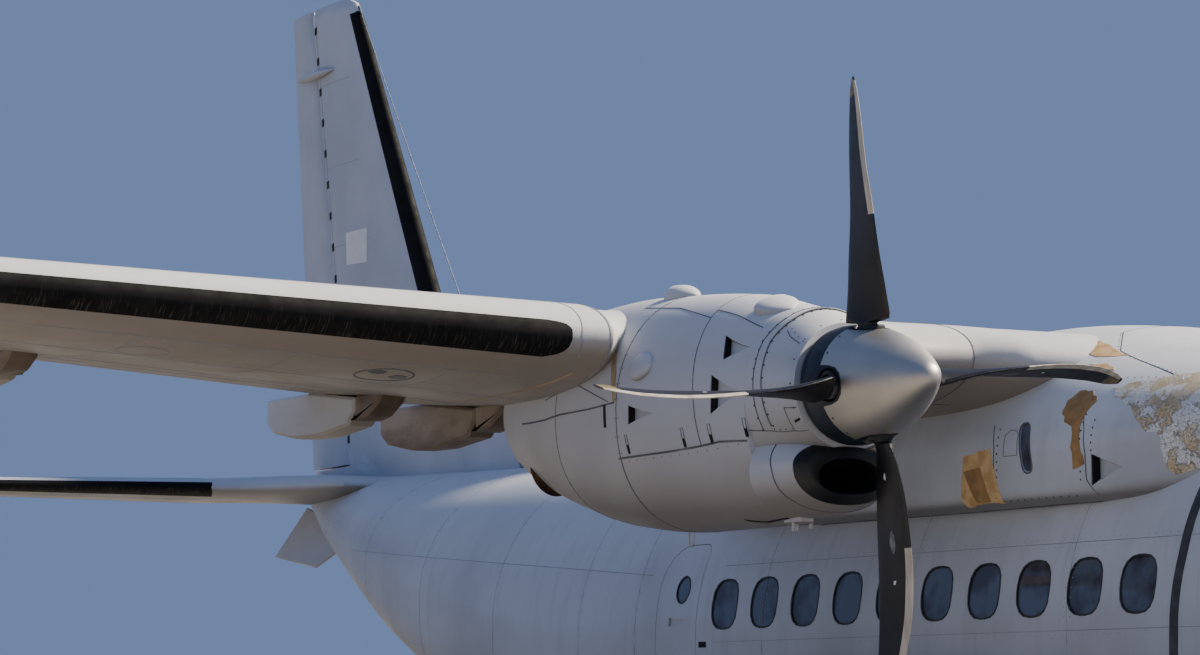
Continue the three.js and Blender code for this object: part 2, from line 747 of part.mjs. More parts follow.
function noseFork() {
  const x = NOSE_WHEEL.x;
  const z = NOSE_WHEEL.radius;
  const armY = NOSE_WHEEL.width / 2 + 46;
  const crown = block([x - 60, -armY - 16, z + NOSE_WHEEL.radius + 30], [x + 60, armY + 16, 720]);
  const piston = bar([x, 0, 700], [x, 0, 734], 50, 50, 20);
  const arms = [-1, 1].map((side) => bar([x, side * armY, z], [x, side * armY, 690], 30, 38));
  const axle = bar([x, -armY - 20, z], [x, armY + 20, z], AXLE_RADIUS, AXLE_RADIUS);
  return joined(crown, piston, axle, ...arms);
}

function addWheel(name, spec, x, y) {
  const place = new THREE.Group();
  place.position.set(x, y, spec.radius);
  aircraft.add(place);
  addMesh(place, `${name}_tyre`, tyreShape(spec), "tyre");
  addMesh(place, `${name}_wheel`, hubShape(spec), "gear_steel");
}

function addGear() {
  const well = block([WELL.low[0], WELL.low[1], 0], [WELL.high[0], WELL.high[1], WELL.top]);
  const sponson = bodyLoft(SPONSON, SPONSON_COLUMNS, 24).subtract(well);
  addPair("sponson", sponson, "paint", hullGrown);
  addPair("main_gear", mainLeg(), "gear_steel");
  addMesh(aircraft, "nose_leg", noseLeg(), "gear_steel");
  addMesh(aircraft, "nose_fork", noseFork(), "gear_steel");
  addWheel("nose", NOSE_WHEEL, NOSE_WHEEL.x, 0);
  for (const [place, x] of [["front", MAIN_WHEEL.x[0]], ["rear", MAIN_WHEEL.x[1]]]) {
    addWheel(`main_${place}_left`, MAIN_WHEEL, x, MAIN_WHEEL.y);
    addWheel(`main_${place}_right`, MAIN_WHEEL, x, -MAIN_WHEEL.y);
  }
}

// Wing, flaps and ailerons

const FLAP_HINGE_DROP = 282; // below the chord line where the flap starts, at the root

function flapNoseX(y) {
  return chordPoint(wingStation(Math.max(y, WING_JOINT_Y)), FLAP_CHORD)[0];
}

// Fairings stand at these y; the first is on the centre section.
const FAIRING_Y = [3780, 4620, 7000];

// The flap hinge runs below the wing; the drop shrinks with the chord.
function fairingDatum(y) {
  const station = wingStation(Math.max(y, WING_JOINT_Y));
  return chordPoint(station, FLAP_CHORD, FLAP_HINGE_DROP * wingScale(y))[2];
}

function addWing() {
  const noseX = flapNoseX(0);
  const overWing = nacelleLoft(NACELLE).intersect(
    block([1120, ENGINE_Y - 700, WING_ROOT.noseZ], [COWL_REAR_X - GAP, WING_JOINT_Y, 5000]),
  );
  const innerFlapRoom = block([-500, FLAP_INNER_Y[0] - 15, 3000], [noseX + CLEAR, WING_JOINT_Y + 50, 4500]);
  const innerFlapBlock = block([-500, FLAP_INNER_Y[0], 3000], [noseX, FLAP_INNER_Y[1], 4500]);
  const wholeCentre = centreWing();
  const frontFairing = fairing(FAIRING_FRONT, FAIRING_Y[0], noseX, fairingDatum(0));
  let centre = joined(wholeCentre, overWing, mirrored(overWing));
  centre = centre.subtract(innerFlapRoom).subtract(mirrored(innerFlapRoom));
  centre = joined(centre, frontFairing, mirrored(frontFairing)).subtract(hullGrown);
  addMesh(aircraft, "wing_centre", centre, "paint");

  const rearFairing = fairing(FAIRING_REAR, FAIRING_Y[0], noseX, fairingDatum(0));
  addPair("flap_inner", wholeCentre.intersect(innerFlapBlock).add(rearFairing), "paint");

  const whole = outerWing();
  const noseLine = FLAP_OUTER_Y.map((y) => chordPoint(wingStation(y), FLAP_CHORD));
  const outerFlapRoom = hingeBlock(...noseLine, { ahead: CLEAR, longer: 30 });
  let outerFlap = whole.intersect(hingeBlock(...noseLine, {}));

  const aileronLine = AILERON_Y.map((y) => chordPoint(wingStation(y), AILERON_HINGE, -8));
  const noseRadii = AILERON_Y.map((y) => halfThickness(wingStation(y), AILERON_HINGE) * 0.92);
  const aileron = splitAtHinge(whole, ...aileronLine, ...noseRadii, 15);
  let wing = aileron.fixed.subtract(outerFlapRoom);
  for (const y of FAIRING_Y.slice(1)) {
    const scale = wingScale(y);
    wing = wing.add(fairing(FAIRING_FRONT, y, flapNoseX(y), fairingDatum(y), scale));
    outerFlap = outerFlap.add(fairing(FAIRING_REAR, y, flapNoseX(y), fairingDatum(y), scale));
  }
  addPair("wing", wing, "paint");
  addPair("flap_outer", outerFlap, "paint");
  addPair("aileron", aileron.moving, "composite");
}

function wingScale(y) {
  const station = wingStation(Math.max(y, WING_JOINT_Y));
  return (station.nose - station.tail) / (WING_ROOT.nose - WING_ROOT.tail);
}

// Tail

const FIN_COLUMNS = ["z", "nose", "tail", "thick"];
const FIN = [
  [3610, -6580, -9860, 0.12],
  [3850, -6720, -10150, 0.12],
  [7960, -9150, -10674, 0.12],
  [8110, -9260, -10694, 0.1],
  [8177, -9420, -10700, 0.05],
];
const RUDDER_FOOT_Z = 3828; // level edge behind the hinge, clear of the hull when the rudder turns
const RUDDER_HINGE = [
  [-9270, 0, 3850],
  [-10285, 0, 8120],
];
const RUDDER_NOSE = [165, 72]; // radius at the foot and the head
const DORSAL = [
  // x, half thickness at the foot, top z
  [-2700, 30, 3560],
  [-4200, 70, 3920],
  [-5700, 100, 4330],
  [-7250, 120, 4780],
  [-7900, 60, 4900],
];

function finRing([z, nose, tail, thick]) {
  const flat = wingRing({ y: 0, nose, tail, noseZ: 0, tailZ: 0, thick }, 0, 8);
  return flat.map(([x, , side]) => [x, side, z]);
}

function finShape() {
  const blade = loft(FIN.map(finRing));
  const dorsal = loft(
    DORSAL.map(([x, half, top]) => [
      [x, -half, 3300],
      [x, half, 3300],
      [x, half * 0.7, 3300 + (top - 3300) * 0.6],
      [x, half * 0.25, top],
      [x, -half * 0.25, top],
      [x, -half * 0.7, 3300 + (top - 3300) * 0.6],
    ]),
  );
  return blade.add(dorsal);
}

const TAILPLANE = [
  // y, nose x, tail x, z of the chord, thickness
  [60, -7700, -10680, 3560, 0.075],
  [800, -7850, -10680, 3565, 0.08],
  [1100, -8500, -10670, 3570, 0.1],
  [1400, -8900, -10660, 3570, 0.12],
  [5050, -9640, -10560, 3570, 0.12],
  [5230, -9720, -10540, 3570, 0.1],
  [5300, -9900, -10500, 3570, 0.04],
];
const ELEVATOR_Y = [470, 5000];
const ELEVATOR_HINGE_X = [-9960, -10140];
const ELEVATOR_NOSE = [72, 42];

function tailplaneStation(row) {
  const [y, nose, tail, z, thick] = row;
  return { y, nose, tail, noseZ: z, tailZ: z, thick };
}

const VENTRAL_FIN = {
  // corners [x, y, z]: root front, root rear, foot rear, foot front
  corners: [
    [-7950, 560, 3120],
    [-9600, 300, 3450],
    [-9500, 660, 2990],
    [-8400, 760, 2860],
  ],
  half: 24,
};

function ventralFin() {
  const points = VENTRAL_FIN.corners.map((corner) => new THREE.Vector3(...corner));
  const along = points[1].clone().sub(points[0]);
  const down = points[3].clone().sub(points[0]);
  const normal = along.cross(down).normalize();
  const side = (offset) => points.map((p) => p.clone().addScaledVector(normal, offset).toArray());
  return loft([side(-VENTRAL_FIN.half), side(VENTRAL_FIN.half)]);
}

function addTail() {
  const fin = finShape().subtract(hullGrown);
  const rudder = rudderSplit(fin, RUDDER_HINGE);
  addMesh(aircraft, "fin", rudder.fixed, "paint");
  addMesh(aircraft, "rudder", rudder.moving, "paint");

  const surface = loft(TAILPLANE.map((row) => wingRing(tailplaneStation(row))));
  const widened = ([z, nose, tail, thick]) => finRing([z, nose + 60, tail - 60, thick * 1.15]);
  const finFoot = loft(FIN.slice(0, 2).map(widened));
  const hinge = ELEVATOR_Y.map((y, i) => [ELEVATOR_HINGE_X[i], y, 3570]);
  const split = splitAtHinge(surface.subtract(finFoot), ...hinge, ...ELEVATOR_NOSE, 15);
  addPair("tailplane", split.fixed, "paint", hullGrown);
  addPair("elevator", split.moving, "composite");
  const tailRoom = loft(TAILPLANE.map((row) => wingRing(tailplaneStation(row), GAP)));
  addPair("ventral_fin", ventralFin(), "paint", hullGrown, tailRoom, mirrored(tailRoom));
}

// The rudder's ends are square to its hinge; the fin keeps its foot below it.
function rudderSplit(fin, [low, high]) {
  const start = new THREE.Vector3(...low);
  const end = new THREE.Vector3(...high);
  const along = end.clone().sub(start).normalize();
  const back = new THREE.Vector3(-along.z, 0, along.x).normalize();
  const behind = (ahead, lower) => {
    const base = start.clone().addScaledVector(along, -lower).addScaledVector(back, -ahead);
    const length = end.distanceTo(start) + 800 + lower;
    const geometry = new THREE.BoxGeometry(length, 3000 + ahead, 2000);
    geometry.translate(length / 2, (3000 + ahead) / 2, 0);
    const turn = new THREE.Matrix4().makeBasis(along, back, along.clone().cross(back));
    geometry.applyMatrix4(turn.setPosition(base));
    return solid(geometry);
  };
  const nose = bar(start.clone().addScaledVector(along, 1).toArray(), end.toArray(), ...RUDDER_NOSE);
  const above = (z) => block([-FAR, -FAR, z], [FAR, FAR, FAR]);
  const moving = fin.intersect(behind(0, 0)).add(nose).intersect(above(RUDDER_FOOT_Z));
  const room = behind(RUDDER_NOSE[0] + CLEAR, 15).intersect(above(RUDDER_FOOT_Z - 15));
  return { moving, fixed: fin.subtract(room) };
}

// Engines and propellers

function addEngines() {
  const wingRoom = centreWing(GAP);
  const outerRoom = outerWing(GAP);
  addPair("nose_cowl", noseCowl(), "paint");

  const cowlRows = NACELLE.slice(0, 3);
  const cowlTrim = cowlRows.map((row, i) => [row[0] + (i === 0 ? 50 : i === 2 ? -50 : 0), ...row.slice(1)]);
  const cowl = nacelleLoft(cowlRows).subtract(nacelleLoft(cowlTrim, -COWL_WALL));
  addPair("cowl", cowl, "paint");

  const [x1, y1, z1] = EXHAUST.to;
  const [x0, y0, z0] = EXHAUST.from;
  const stretch = 0.6;
  const pipeEnd = [x1 + (x1 - x0) * stretch, y1 + (y1 - y0) * stretch, z1 + (z1 - z0) * stretch];
  const pipeRoom = bar(EXHAUST.from, pipeEnd, EXHAUST.radius + 20);
  const blockStart = [ENGINE_BLOCK.rear - 40, ENGINE_Y, ENGINE_Z];
  const blockRoom = bar(blockStart, [3400, ENGINE_Y, ENGINE_Z], 330, 330, 16);
  const below = block([0, 0, 0], [COWL_REAR_X - GAP, 2 * ENGINE_Y, WING_ROOT.noseZ - GAP]);
  let rear = nacelleLoft(NACELLE.slice(2)).intersect(below);
  const fairingRoom = block(
    [900, FAIRING_Y[0] - FAIRING_HALF - GAP, 3200],
    [1420, FAIRING_Y[0] + FAIRING_HALF + GAP, 3700],
  );
  rear = rear.subtract(wingRoom).subtract(outerRoom).subtract(pipeRoom);
  addPair("nacelle_rear", rear.subtract(blockRoom).subtract(fairingRoom), "paint");
  addPair("engine", engine().subtract(wingRoom), "engine_metal");

  for (const [side, y] of [["left", ENGINE_Y], ["right", -ENGINE_Y]]) {
    const shaft = new THREE.Group();
    shaft.position.set(PROPELLER_X, y, PROPELLER_Z);
    shaft.rotation.x = SPIN_ANGLE;
    aircraft.add(shaft);
    addMesh(shaft, `propeller_${side}`, propellerShape(), "blade");
    addMesh(shaft, `spinner_${side}`, spinnerShape(), "spinner_metal");
  }
}

function addRoofFairing() {
  const shape = bodyLoft(ROOF_FAIRING, FAIRING_COLUMNS, 32)
    .subtract(hullGrown)
    .subtract(centreWing(GAP))
    .subtract(finShape());
  addMesh(aircraft, "wing_fairing", shape, "paint");
}

addFuselage();
addRoofFairing();
addWing();
addEngines();
addTail();
addGear();

export default aircraft;
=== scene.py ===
"""Finished looks of a parked high-wing twin turboprop transport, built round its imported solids."""

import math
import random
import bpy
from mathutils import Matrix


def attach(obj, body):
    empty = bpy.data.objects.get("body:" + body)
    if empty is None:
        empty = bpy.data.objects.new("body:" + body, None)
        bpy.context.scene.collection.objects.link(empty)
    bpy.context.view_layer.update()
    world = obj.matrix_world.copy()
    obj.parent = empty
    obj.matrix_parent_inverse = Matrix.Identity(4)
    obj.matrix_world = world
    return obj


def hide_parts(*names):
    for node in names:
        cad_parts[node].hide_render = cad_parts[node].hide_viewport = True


bl_info = {
    "name": "Turboprop transport looks",
    "version": (1, 0, 0),
    "blender": (4, 5, 0),
    "location": "View3D > Sidebar > Transport",
    "description": "Builds the skins, fittings, finishes and stage of a twin turboprop transport",
    "category": "Object",
}

from bisect import bisect_right

import bmesh
import bpy
from bpy.props import FloatProperty, FloatVectorProperty, IntProperty, PointerProperty
from mathutils import Matrix, Vector
from mathutils.geometry import delaunay_2d_cdt

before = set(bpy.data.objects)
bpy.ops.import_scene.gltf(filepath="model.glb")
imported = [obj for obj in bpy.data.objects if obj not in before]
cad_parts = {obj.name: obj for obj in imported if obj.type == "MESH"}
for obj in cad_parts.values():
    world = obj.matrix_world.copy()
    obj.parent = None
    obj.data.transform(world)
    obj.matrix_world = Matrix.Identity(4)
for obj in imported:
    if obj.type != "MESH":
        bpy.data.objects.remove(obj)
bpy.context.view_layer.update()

# Places and sizes in metres, from the solids' own sections
SIDES = ("right", "left")
ENGINE_Y = 3.5
PROPELLER_X, PROPELLER_Z = 5.05, 3.355
SPIN_ANGLE = math.radians(4.8)
FLOOR_Z = 1.22
CHORD_CUT = 0.75
WING_ROOT_Y = 4.1
CREASE_ANGLE = math.radians(38)
# steps of a wing section's front and rear, and of a moving surface's sides and round nose
FRONT_STEPS, REAR_STEPS, SIDE_STEPS, NOSE_STEPS = 26, 8, 7, 8

# x, half width, top, bottom, waist, squareness below the waist
HULL = [
    (10.7, 0.06, 1.9, 1.78, 1.84, 1.0),
    (10.64, 0.26, 2.085, 1.59, 1.84, 1.0),
    (10.45, 0.5, 2.27, 1.4, 1.845, 1.0),
    (10.1, 0.76, 2.44, 1.225, 1.87, 0.95),
    (9.6, 1.01, 2.62, 1.08, 1.92, 0.9),
    (9.0, 1.215, 3.0, 0.985, 1.99, 0.85),
    (8.45, 1.345, 3.33, 0.945, 2.05, 0.8),
    (7.8, 1.425, 3.5, 0.935, 2.09, 0.75),
    (7.0, 1.45, 3.55, 0.935, 2.1, 0.72),
    (-2.4, 1.45, 3.55, 0.935, 2.1, 0.72),
    (-3.6, 1.44, 3.57, 1.23, 2.25, 0.65),
    (-4.8, 1.395, 3.59, 1.62, 2.46, 0.55),
    (-5.9, 1.29, 3.61, 2.04, 2.7, 0.55),
    (-6.8, 1.13, 3.635, 2.405, 2.9, 0.6),
    (-7.7, 0.915, 3.66, 2.76, 3.1, 0.7),
    (-8.45, 0.69, 3.695, 2.985, 3.27, 0.8),
    (-9.05, 0.49, 3.735, 3.19, 3.42, 0.9),
    (-9.55, 0.31, 3.765, 3.335, 3.53, 1.0),
    (-9.95, 0.13, 3.79, 3.52, 3.64, 1.0),
]
BAY = [
    (7.1, 1.3, 3.12, 1.11, 2.05, 0.5),
    (-2.4, 1.3, 3.12, 1.11, 2.05, 0.5),
    (-3.6, 1.29, 3.3, 1.45, 2.3, 0.4),
    (-4.8, 1.25, 3.44, 1.83, 2.52, 0.45),
    (-5.9, 1.16, 3.49, 2.23, 2.76, 0.5),
    (-6.8, 1.01, 3.525, 2.58, 2.96, 0.55),
    (-7.8, 0.77, 3.56, 2.93, 3.2, 0.7),
]
ROOF_FAIRING = [
    (6.15, 0.5, 3.56, 2.9, 3.2, 0.6),
    (5.5, 0.9, 3.64, 2.86, 3.2, 0.4),
    (4.9, 1.15, 3.705, 2.83, 3.18, 0.3),
    (4.3, 1.33, 3.78, 2.81, 3.15, 0.2),
    (3.7, 1.4, 3.88, 2.81, 3.12, 0.18),
    (3.2, 1.42, 3.99, 2.81, 3.12, 0.18),
    (2.3, 1.43, 4.06, 2.81, 3.12, 0.18),
    (1.2, 1.43, 4.04, 2.81, 3.12, 0.18),
    (0.2, 1.41, 3.9, 2.83, 3.12, 0.25),
    (-0.9, 1.2, 3.72, 2.95, 3.15, 0.4),
    (-2.1, 0.7, 3.57, 3.1, 3.25, 0.6),
]
NACELLE = [
    (4.38, 0.425, 3.84, 2.655, 3.335, 0.9),
    (3.9, 0.525, 3.945, 2.625, 3.33, 0.85),
    (3.21, 0.59, 4.005, 2.625, 3.32, 0.85),
    (2.68, 0.59, 4.03, 2.67, 3.32, 0.85),
    (2.18, 0.56, 4.015, 2.775, 3.33, 0.9),
    (1.8, 0.5, 3.96, 2.875, 3.35, 0.95),
    (1.4, 0.39, 3.86, 3.005, 3.4, 1.0),
    (1.12, 0.23, 3.78, 3.18, 3.45, 1.0),
]
COWL_RING = [
    (4.3804, 0.425, 3.84, 2.85, 3.335, 0.9),
    (4.6, 0.402, 3.79, 2.905, 3.34, 1.0),
    (4.74, 0.37, 3.735, 2.97, 3.35, 1.0),
    (4.785, 0.35, 3.705, 3.005, 3.355, 1.0),
]
CHIN = [
    (4.3804, 0.395, 3.2, 2.655, 2.9, 0.9),
    (4.56, 0.375, 3.14, 2.668, 2.905, 0.9),
    (4.69, 0.348, 3.085, 2.69, 2.915, 0.9),
    (4.75, 0.322, 3.05, 2.718, 2.92, 0.9),
    (4.785, 0.265, 3.02, 2.752, 2.92, 0.9),
]
DUCT = [
    (4.18, 0.18, 2.95, 2.785, 2.87, 0.8),
    (4.7, 0.18, 2.95, 2.785, 2.87, 0.8),
    (4.76, 0.188, 2.955, 2.778, 2.87, 0.8),
    (4.8, 0.212, 2.972, 2.762, 2.87, 0.8),
]
SPONSON = [
    (4.35, 0.12, 1.48, 1.13, 1.3, 1.0),
    (3.9, 0.38, 1.7, 0.84, 1.3, 0.8),
    (3.2, 0.59, 1.84, 0.66, 1.3, 0.7),
    (2.5, 0.67, 1.87, 0.61, 1.3, 0.65),
    (0.9, 0.67, 1.87, 0.61, 1.3, 0.65),
    (0.1, 0.6, 1.84, 0.68, 1.3, 0.7),
    (-0.7, 0.42, 1.74, 0.85, 1.3, 0.8),
    (-1.4, 0.13, 1.5, 1.17, 1.32, 1.0),
]
# x and distance of the sponson's middle from the plane of symmetry
SPONSON_Y = [
    (-1.4, 1.33), (-0.7, 1.42), (0.1, 1.48), (0.9, 1.5),
    (2.5, 1.5), (3.2, 1.48), (3.9, 1.42), (4.35, 1.33),
]
# span, nose x, tail x, nose height, tail height, thickness share
WING = [
    (4.1, 3.2, 0.2, 3.73, 3.573, 0.18),
    (12.65, 2.17, 0.919, 4.1556, 4.0899, 0.18),
    (12.82, 2.1096, 0.9327, 4.164, 4.1, 0.144),
    (12.905, 1.979, 0.94, 4.168, 4.105, 0.072),
]
# drawn back beside the nacelle, where the root's fillet hides the nose
CENTRE = [
    (0.0, 3.42, 0.2, 3.7, 3.573, 0.165),
    (1.3, 3.42, 0.2, 3.7, 3.573, 0.165),
    (1.48, 3.3, 0.2, 3.72, 3.573, 0.173),
    (1.62, 3.22, 0.2, 3.73, 3.573, 0.178),
    (1.8, 3.2, 0.2, 3.73, 3.573, 0.18),
    (3.6, 3.2, 0.2, 3.73, 3.573, 0.18),
    (3.75, 3.05, 0.2, 3.73, 3.573, 0.18),
    (3.98, 3.05, 0.2, 3.73, 3.573, 0.18),
    (4.1, 3.2, 0.2, 3.73, 3.573, 0.18),
]
TAILPLANE = [
    (0.06, -7.7, -10.68, 3.56, 3.56, 0.075),
    (0.8, -7.85, -10.68, 3.565, 3.565, 0.08),
    (1.1, -8.5, -10.67, 3.57, 3.57, 0.1),
    (1.4, -8.9, -10.66, 3.57, 3.57, 0.12),
    (5.05, -9.64, -10.56, 3.57, 3.57, 0.12),
    (5.23, -9.72, -10.54, 3.57, 3.57, 0.1),
    (5.3, -9.9, -10.5, 3.57, 3.57, 0.04),
]
FIN = [
    (3.61, -6.58, -9.86, 0, 0, 0.12),
    (3.85, -6.72, -10.15, 0, 0, 0.12),
    (7.96, -9.15, -10.674, 0, 0, 0.12),
    (8.11, -9.26, -10.694, 0, 0, 0.1),
    (8.177, -9.42, -10.7, 0, 0, 0.05),
]


# Curves and surfaces


def track(keys, values, straight=False):
    """A curve through values at rising keys. Unless straight it is smooth, and it never overshoots them."""
    gaps = [b - a for a, b in zip(keys, keys[1:])]
    slopes = [(b - a) / gap for a, b, gap in zip(values, values[1:], gaps)]
    leans = [slopes[0]]
    for before, after in zip(slopes, slopes[1:]):
        leans.append(0.0 if before * after <= 0 else 2 * before * after / (before + after))
    leans.append(slopes[-1])

    def at(key):
        i = min(max(bisect_right(keys, key) - 1, 0), len(gaps) - 1)
        t = (key - keys[i]) / gaps[i]
        a, b = values[i], values[i + 1]
        if straight:
            return a + (b - a) * t
        rise = t * t * (3 - 2 * t)
        bend = leans[i] * t * (1 - t) ** 2 - leans[i + 1] * t * t * (1 - t)
        return a + (b - a) * rise + bend * gaps[i]

    return at


def spans(low, high, step):
    """Even places from low to high, about one step apart."""
    count = max(1, round((high - low) / step))
    return [low + (high - low) * i / count for i in range(count + 1)]


class Body:
    """A form with rounded sections along X: half an ellipse above the waist, squarer below it."""

    def __init__(self, rows, y=0.0, middle=None):
        rows = sorted(rows)
        self.keys = [row[0] for row in rows]
        self.columns = [track(self.keys, [row[i] for row in rows]) for i in range(1, 6)]
        self.y = middle or (lambda x: y)

    def section(self, x):
        return [column(x) for column in self.columns]

    def skin(self, x, degrees, lift=0.0):
        """The surface by x and the angle about the middle, from 0 at the left over 90 at the top."""
        half, top, bottom, waist, square = self.section(x)
        c, s = math.cos(math.radians(degrees)), math.sin(math.radians(degrees))
        power = square if s < 0 else 1.0
        height = (waist - bottom if s < 0 else top - waist) + lift
        wide = (half + lift) * math.copysign(abs(c) ** power, c)
        return Vector((x, self.y(x) + wide, waist + height * math.copysign(abs(s) ** power, s)))

    def flank(self, x, z, lift=0.0):
        """The right-hand surface by x and height."""
        _, top, bottom, waist, square = self.section(x)
        if z >= waist:
            angle = math.asin(min(1.0, (z - waist) / (top - waist)))
        else:
            angle = -math.asin(min(1.0, (waist - z) / (waist - bottom)) ** (1 / square))
        return self.skin(x, 180 - math.degrees(angle), lift)

    def deck(self, x, y, lift=0.0):
        """The upper surface by x and y."""
        share = (y - self.y(x)) / self.section(x)[0]
        return self.skin(x, math.degrees(math.acos(max(-1.0, min(1.0, share)))), lift)

    def ring(self, x, count=96, lift=0.0):
        return [self.skin(x, 360 * k / count, lift) for k in range(count)]

    def rings(self, high, low, spacing, count=96):
        """Sections from high to low, on each row of the table and evenly between them."""
        keys = [high] + [key for key in reversed(self.keys) if low < key < high] + [low]
        places = [high]
        for a, b in zip(keys, keys[1:]):
            places += spans(a, b, -spacing)[1:]
        return [self.ring(x, count) for x in places]


class Foil:
    """A wing or tail surface, on the right or upright, from rows of span, nose, tail, heights and thickness."""

    def __init__(self, rows, camber=0.0, upright=False):
        keys = [row[0] for row in rows]
        self.columns = [track(keys, [row[i] for row in rows], True) for i in range(1, 6)]
        self.camber, self.upright = camber, upright

    def point(self, span, share, face, lift=0.0):
        """The surface at a span and a share of the chord; face is 1 above and -1 below."""
        nose, tail, nose_z, tail_z, thick = [column(span) for column in self.columns]
        chord = nose - tail
        c = max(share, 0.0)
        shape = 0.2969 * math.sqrt(c) - 0.126 * c - 0.3516 * c**2 + 0.2843 * c**3 - 0.1015 * c**4
        out = face * (5 * thick * chord * shape + lift)
        x = nose + lift - (chord + 2 * lift) * c
        if self.upright:
            return Vector((x, out, span))
        bow = 4 * self.camber * chord * c * (1 - c)
        return Vector((x, -span, nose_z + (tail_z - nose_z) * c + bow + out))

    def share_of(self, span, x):
        nose, tail = self.columns[0](span), self.columns[1](span)
        return (nose - x) / (nose - tail)

    def upper(self, span, share, lift=0.0):
        return self.point(span, share, 1, lift)

    def lower(self, span, share, lift=0.0):
        return self.point(span, share, -1, lift)

    def wrap(self, span, w, lift=0.0):
        """The surface round the nose by span and a measure whose square is the share, above 0 on the upper side."""
        return self.point(span, w * w, 1 if w >= 0 else -1, lift)

    def ring(self, span, cut=1.0, lift=0.0, fixed=0.7):
        """A section from the cut on the upper side round the nose to the cut on the lower side."""
        front = [fixed * (1 - math.cos(math.pi * i / (2 * FRONT_STEPS))) for i in range(FRONT_STEPS + 1)]
        shares = front + [fixed + (cut - fixed) * (i + 1) / REAR_STEPS for i in range(REAR_STEPS)]
        upper = [self.point(span, c, 1, lift) for c in reversed(shares)]
        return upper + [self.point(span, c, -1, lift) for c in shares[1:]]

    def rear_ring(self, span, cut, radius):
        """A moving surface's section: a round nose of the given radius about the cut, then its tail."""
        shares = [1 - (1 - cut) * i / SIDE_STEPS for i in range(SIDE_STEPS)]
        upper = [self.point(span, share, 1) for share in shares]
        lower = [self.point(span, share, -1) for share in reversed(shares)]
        top, low = self.point(span, cut, 1), self.point(span, cut, -1)
        middle, half = (top + low) / 2, (top - low) / 2
        nose = []
        for k in range(NOSE_STEPS + 1):
            a = math.pi * k / NOSE_STEPS
            nose.append(middle + half * math.cos(a) + Vector((radius * math.sin(a), 0, 0)))
        return upper + nose + lower


hull, bay, roof_fairing = Body(HULL), Body(BAY), Body(ROOF_FAIRING)
nacelle, cowl_ring, chin, duct = [Body(rows, -ENGINE_Y) for rows in (NACELLE, COWL_RING, CHIN, DUCT)]
sponson_middle = track([x for x, _ in SPONSON_Y], [-y for _, y in SPONSON_Y])
sponson = Body(SPONSON, middle=sponson_middle)
wing, centre_wing = Foil(WING, camber=0.014), Foil(CENTRE, camber=0.014)
tailplane, fin = Foil(TAILPLANE), Foil(FIN, upright=True)


# Outlines


def mix(a, b, share):
    return tuple(p + (q - p) * share for p, q in zip(a, b))


def resampled(path, step, surface, closed=True):
    """Points along a path at about one step, measured on its surface, with its corners kept."""
    ends = list(zip(path, path[1:] + path[:1])) if closed else list(zip(path, path[1:]))
    made = []
    for a, b in ends:
        marks = [surface(*mix(a, b, i / 8)) for i in range(9)]
        reach = sum(math.dist(p, q) for p, q in zip(marks, marks[1:]))
        count = max(1, math.ceil(reach / step - 0.01))
        made += [mix(a, b, i / count) for i in range(count)]
    return made if closed else made + [tuple(path[-1])]


def inside(point, loop):
    """Whether a point lies inside a closed loop."""
    x, y = point
    found = False
    for (ax, ay), (bx, by) in zip(loop, loop[1:] + loop[:1]):
        if (ay > y) != (by > y) and x < (bx - ax) * (y - ay) / (by - ay) + ax:
            found = not found
    return found


def turns(count):
    """Even angles round a full circle."""
    return [math.tau * k / count for k in range(count)]


def ellipse(x, z, half_x, half_z, count=28):
    return [(x + half_x * math.cos(a), z + half_z * math.sin(a)) for a in turns(count)]


def box(x, z, width, height):
    """A rectangle about a centre."""
    a, b = width / 2, height / 2
    return [(x + a, z + b), (x - a, z + b), (x - a, z - b), (x + a, z - b)]


def rounded(corners, radius, grow=0.0, scale=1.0):
    """An outline with rounded corners, moved outwards by grow; scale turns its second measure into metres."""
    points = [Vector((u, v * scale)) for u, v in corners]
    middle = sum(points, Vector((0, 0))) / len(points)
    outline = []
    for before, here, after in zip(points[-1:] + points, points, points[1:] + points[:1]):
        start = here + (before - here).normalized() * radius
        end = here + (after - here).normalized() * radius
        for t in (0, 0.25, 0.5, 0.75, 1):
            p = start * (1 - t) ** 2 + here * 2 * t * (1 - t) + end * t * t
            p += (p - middle).normalized() * grow
            outline.append((p.x, p.y / scale))
    return outline


def roughened(outline, surface, step, amount, seed):
    """An outline whose edge wanders at random, as flaked paint's does."""
    chance = random.Random(seed)
    return [tuple(v + chance.uniform(-amount, amount) for v in p) for p in resampled(outline, step, surface)]


# Shapes gathered into pieces


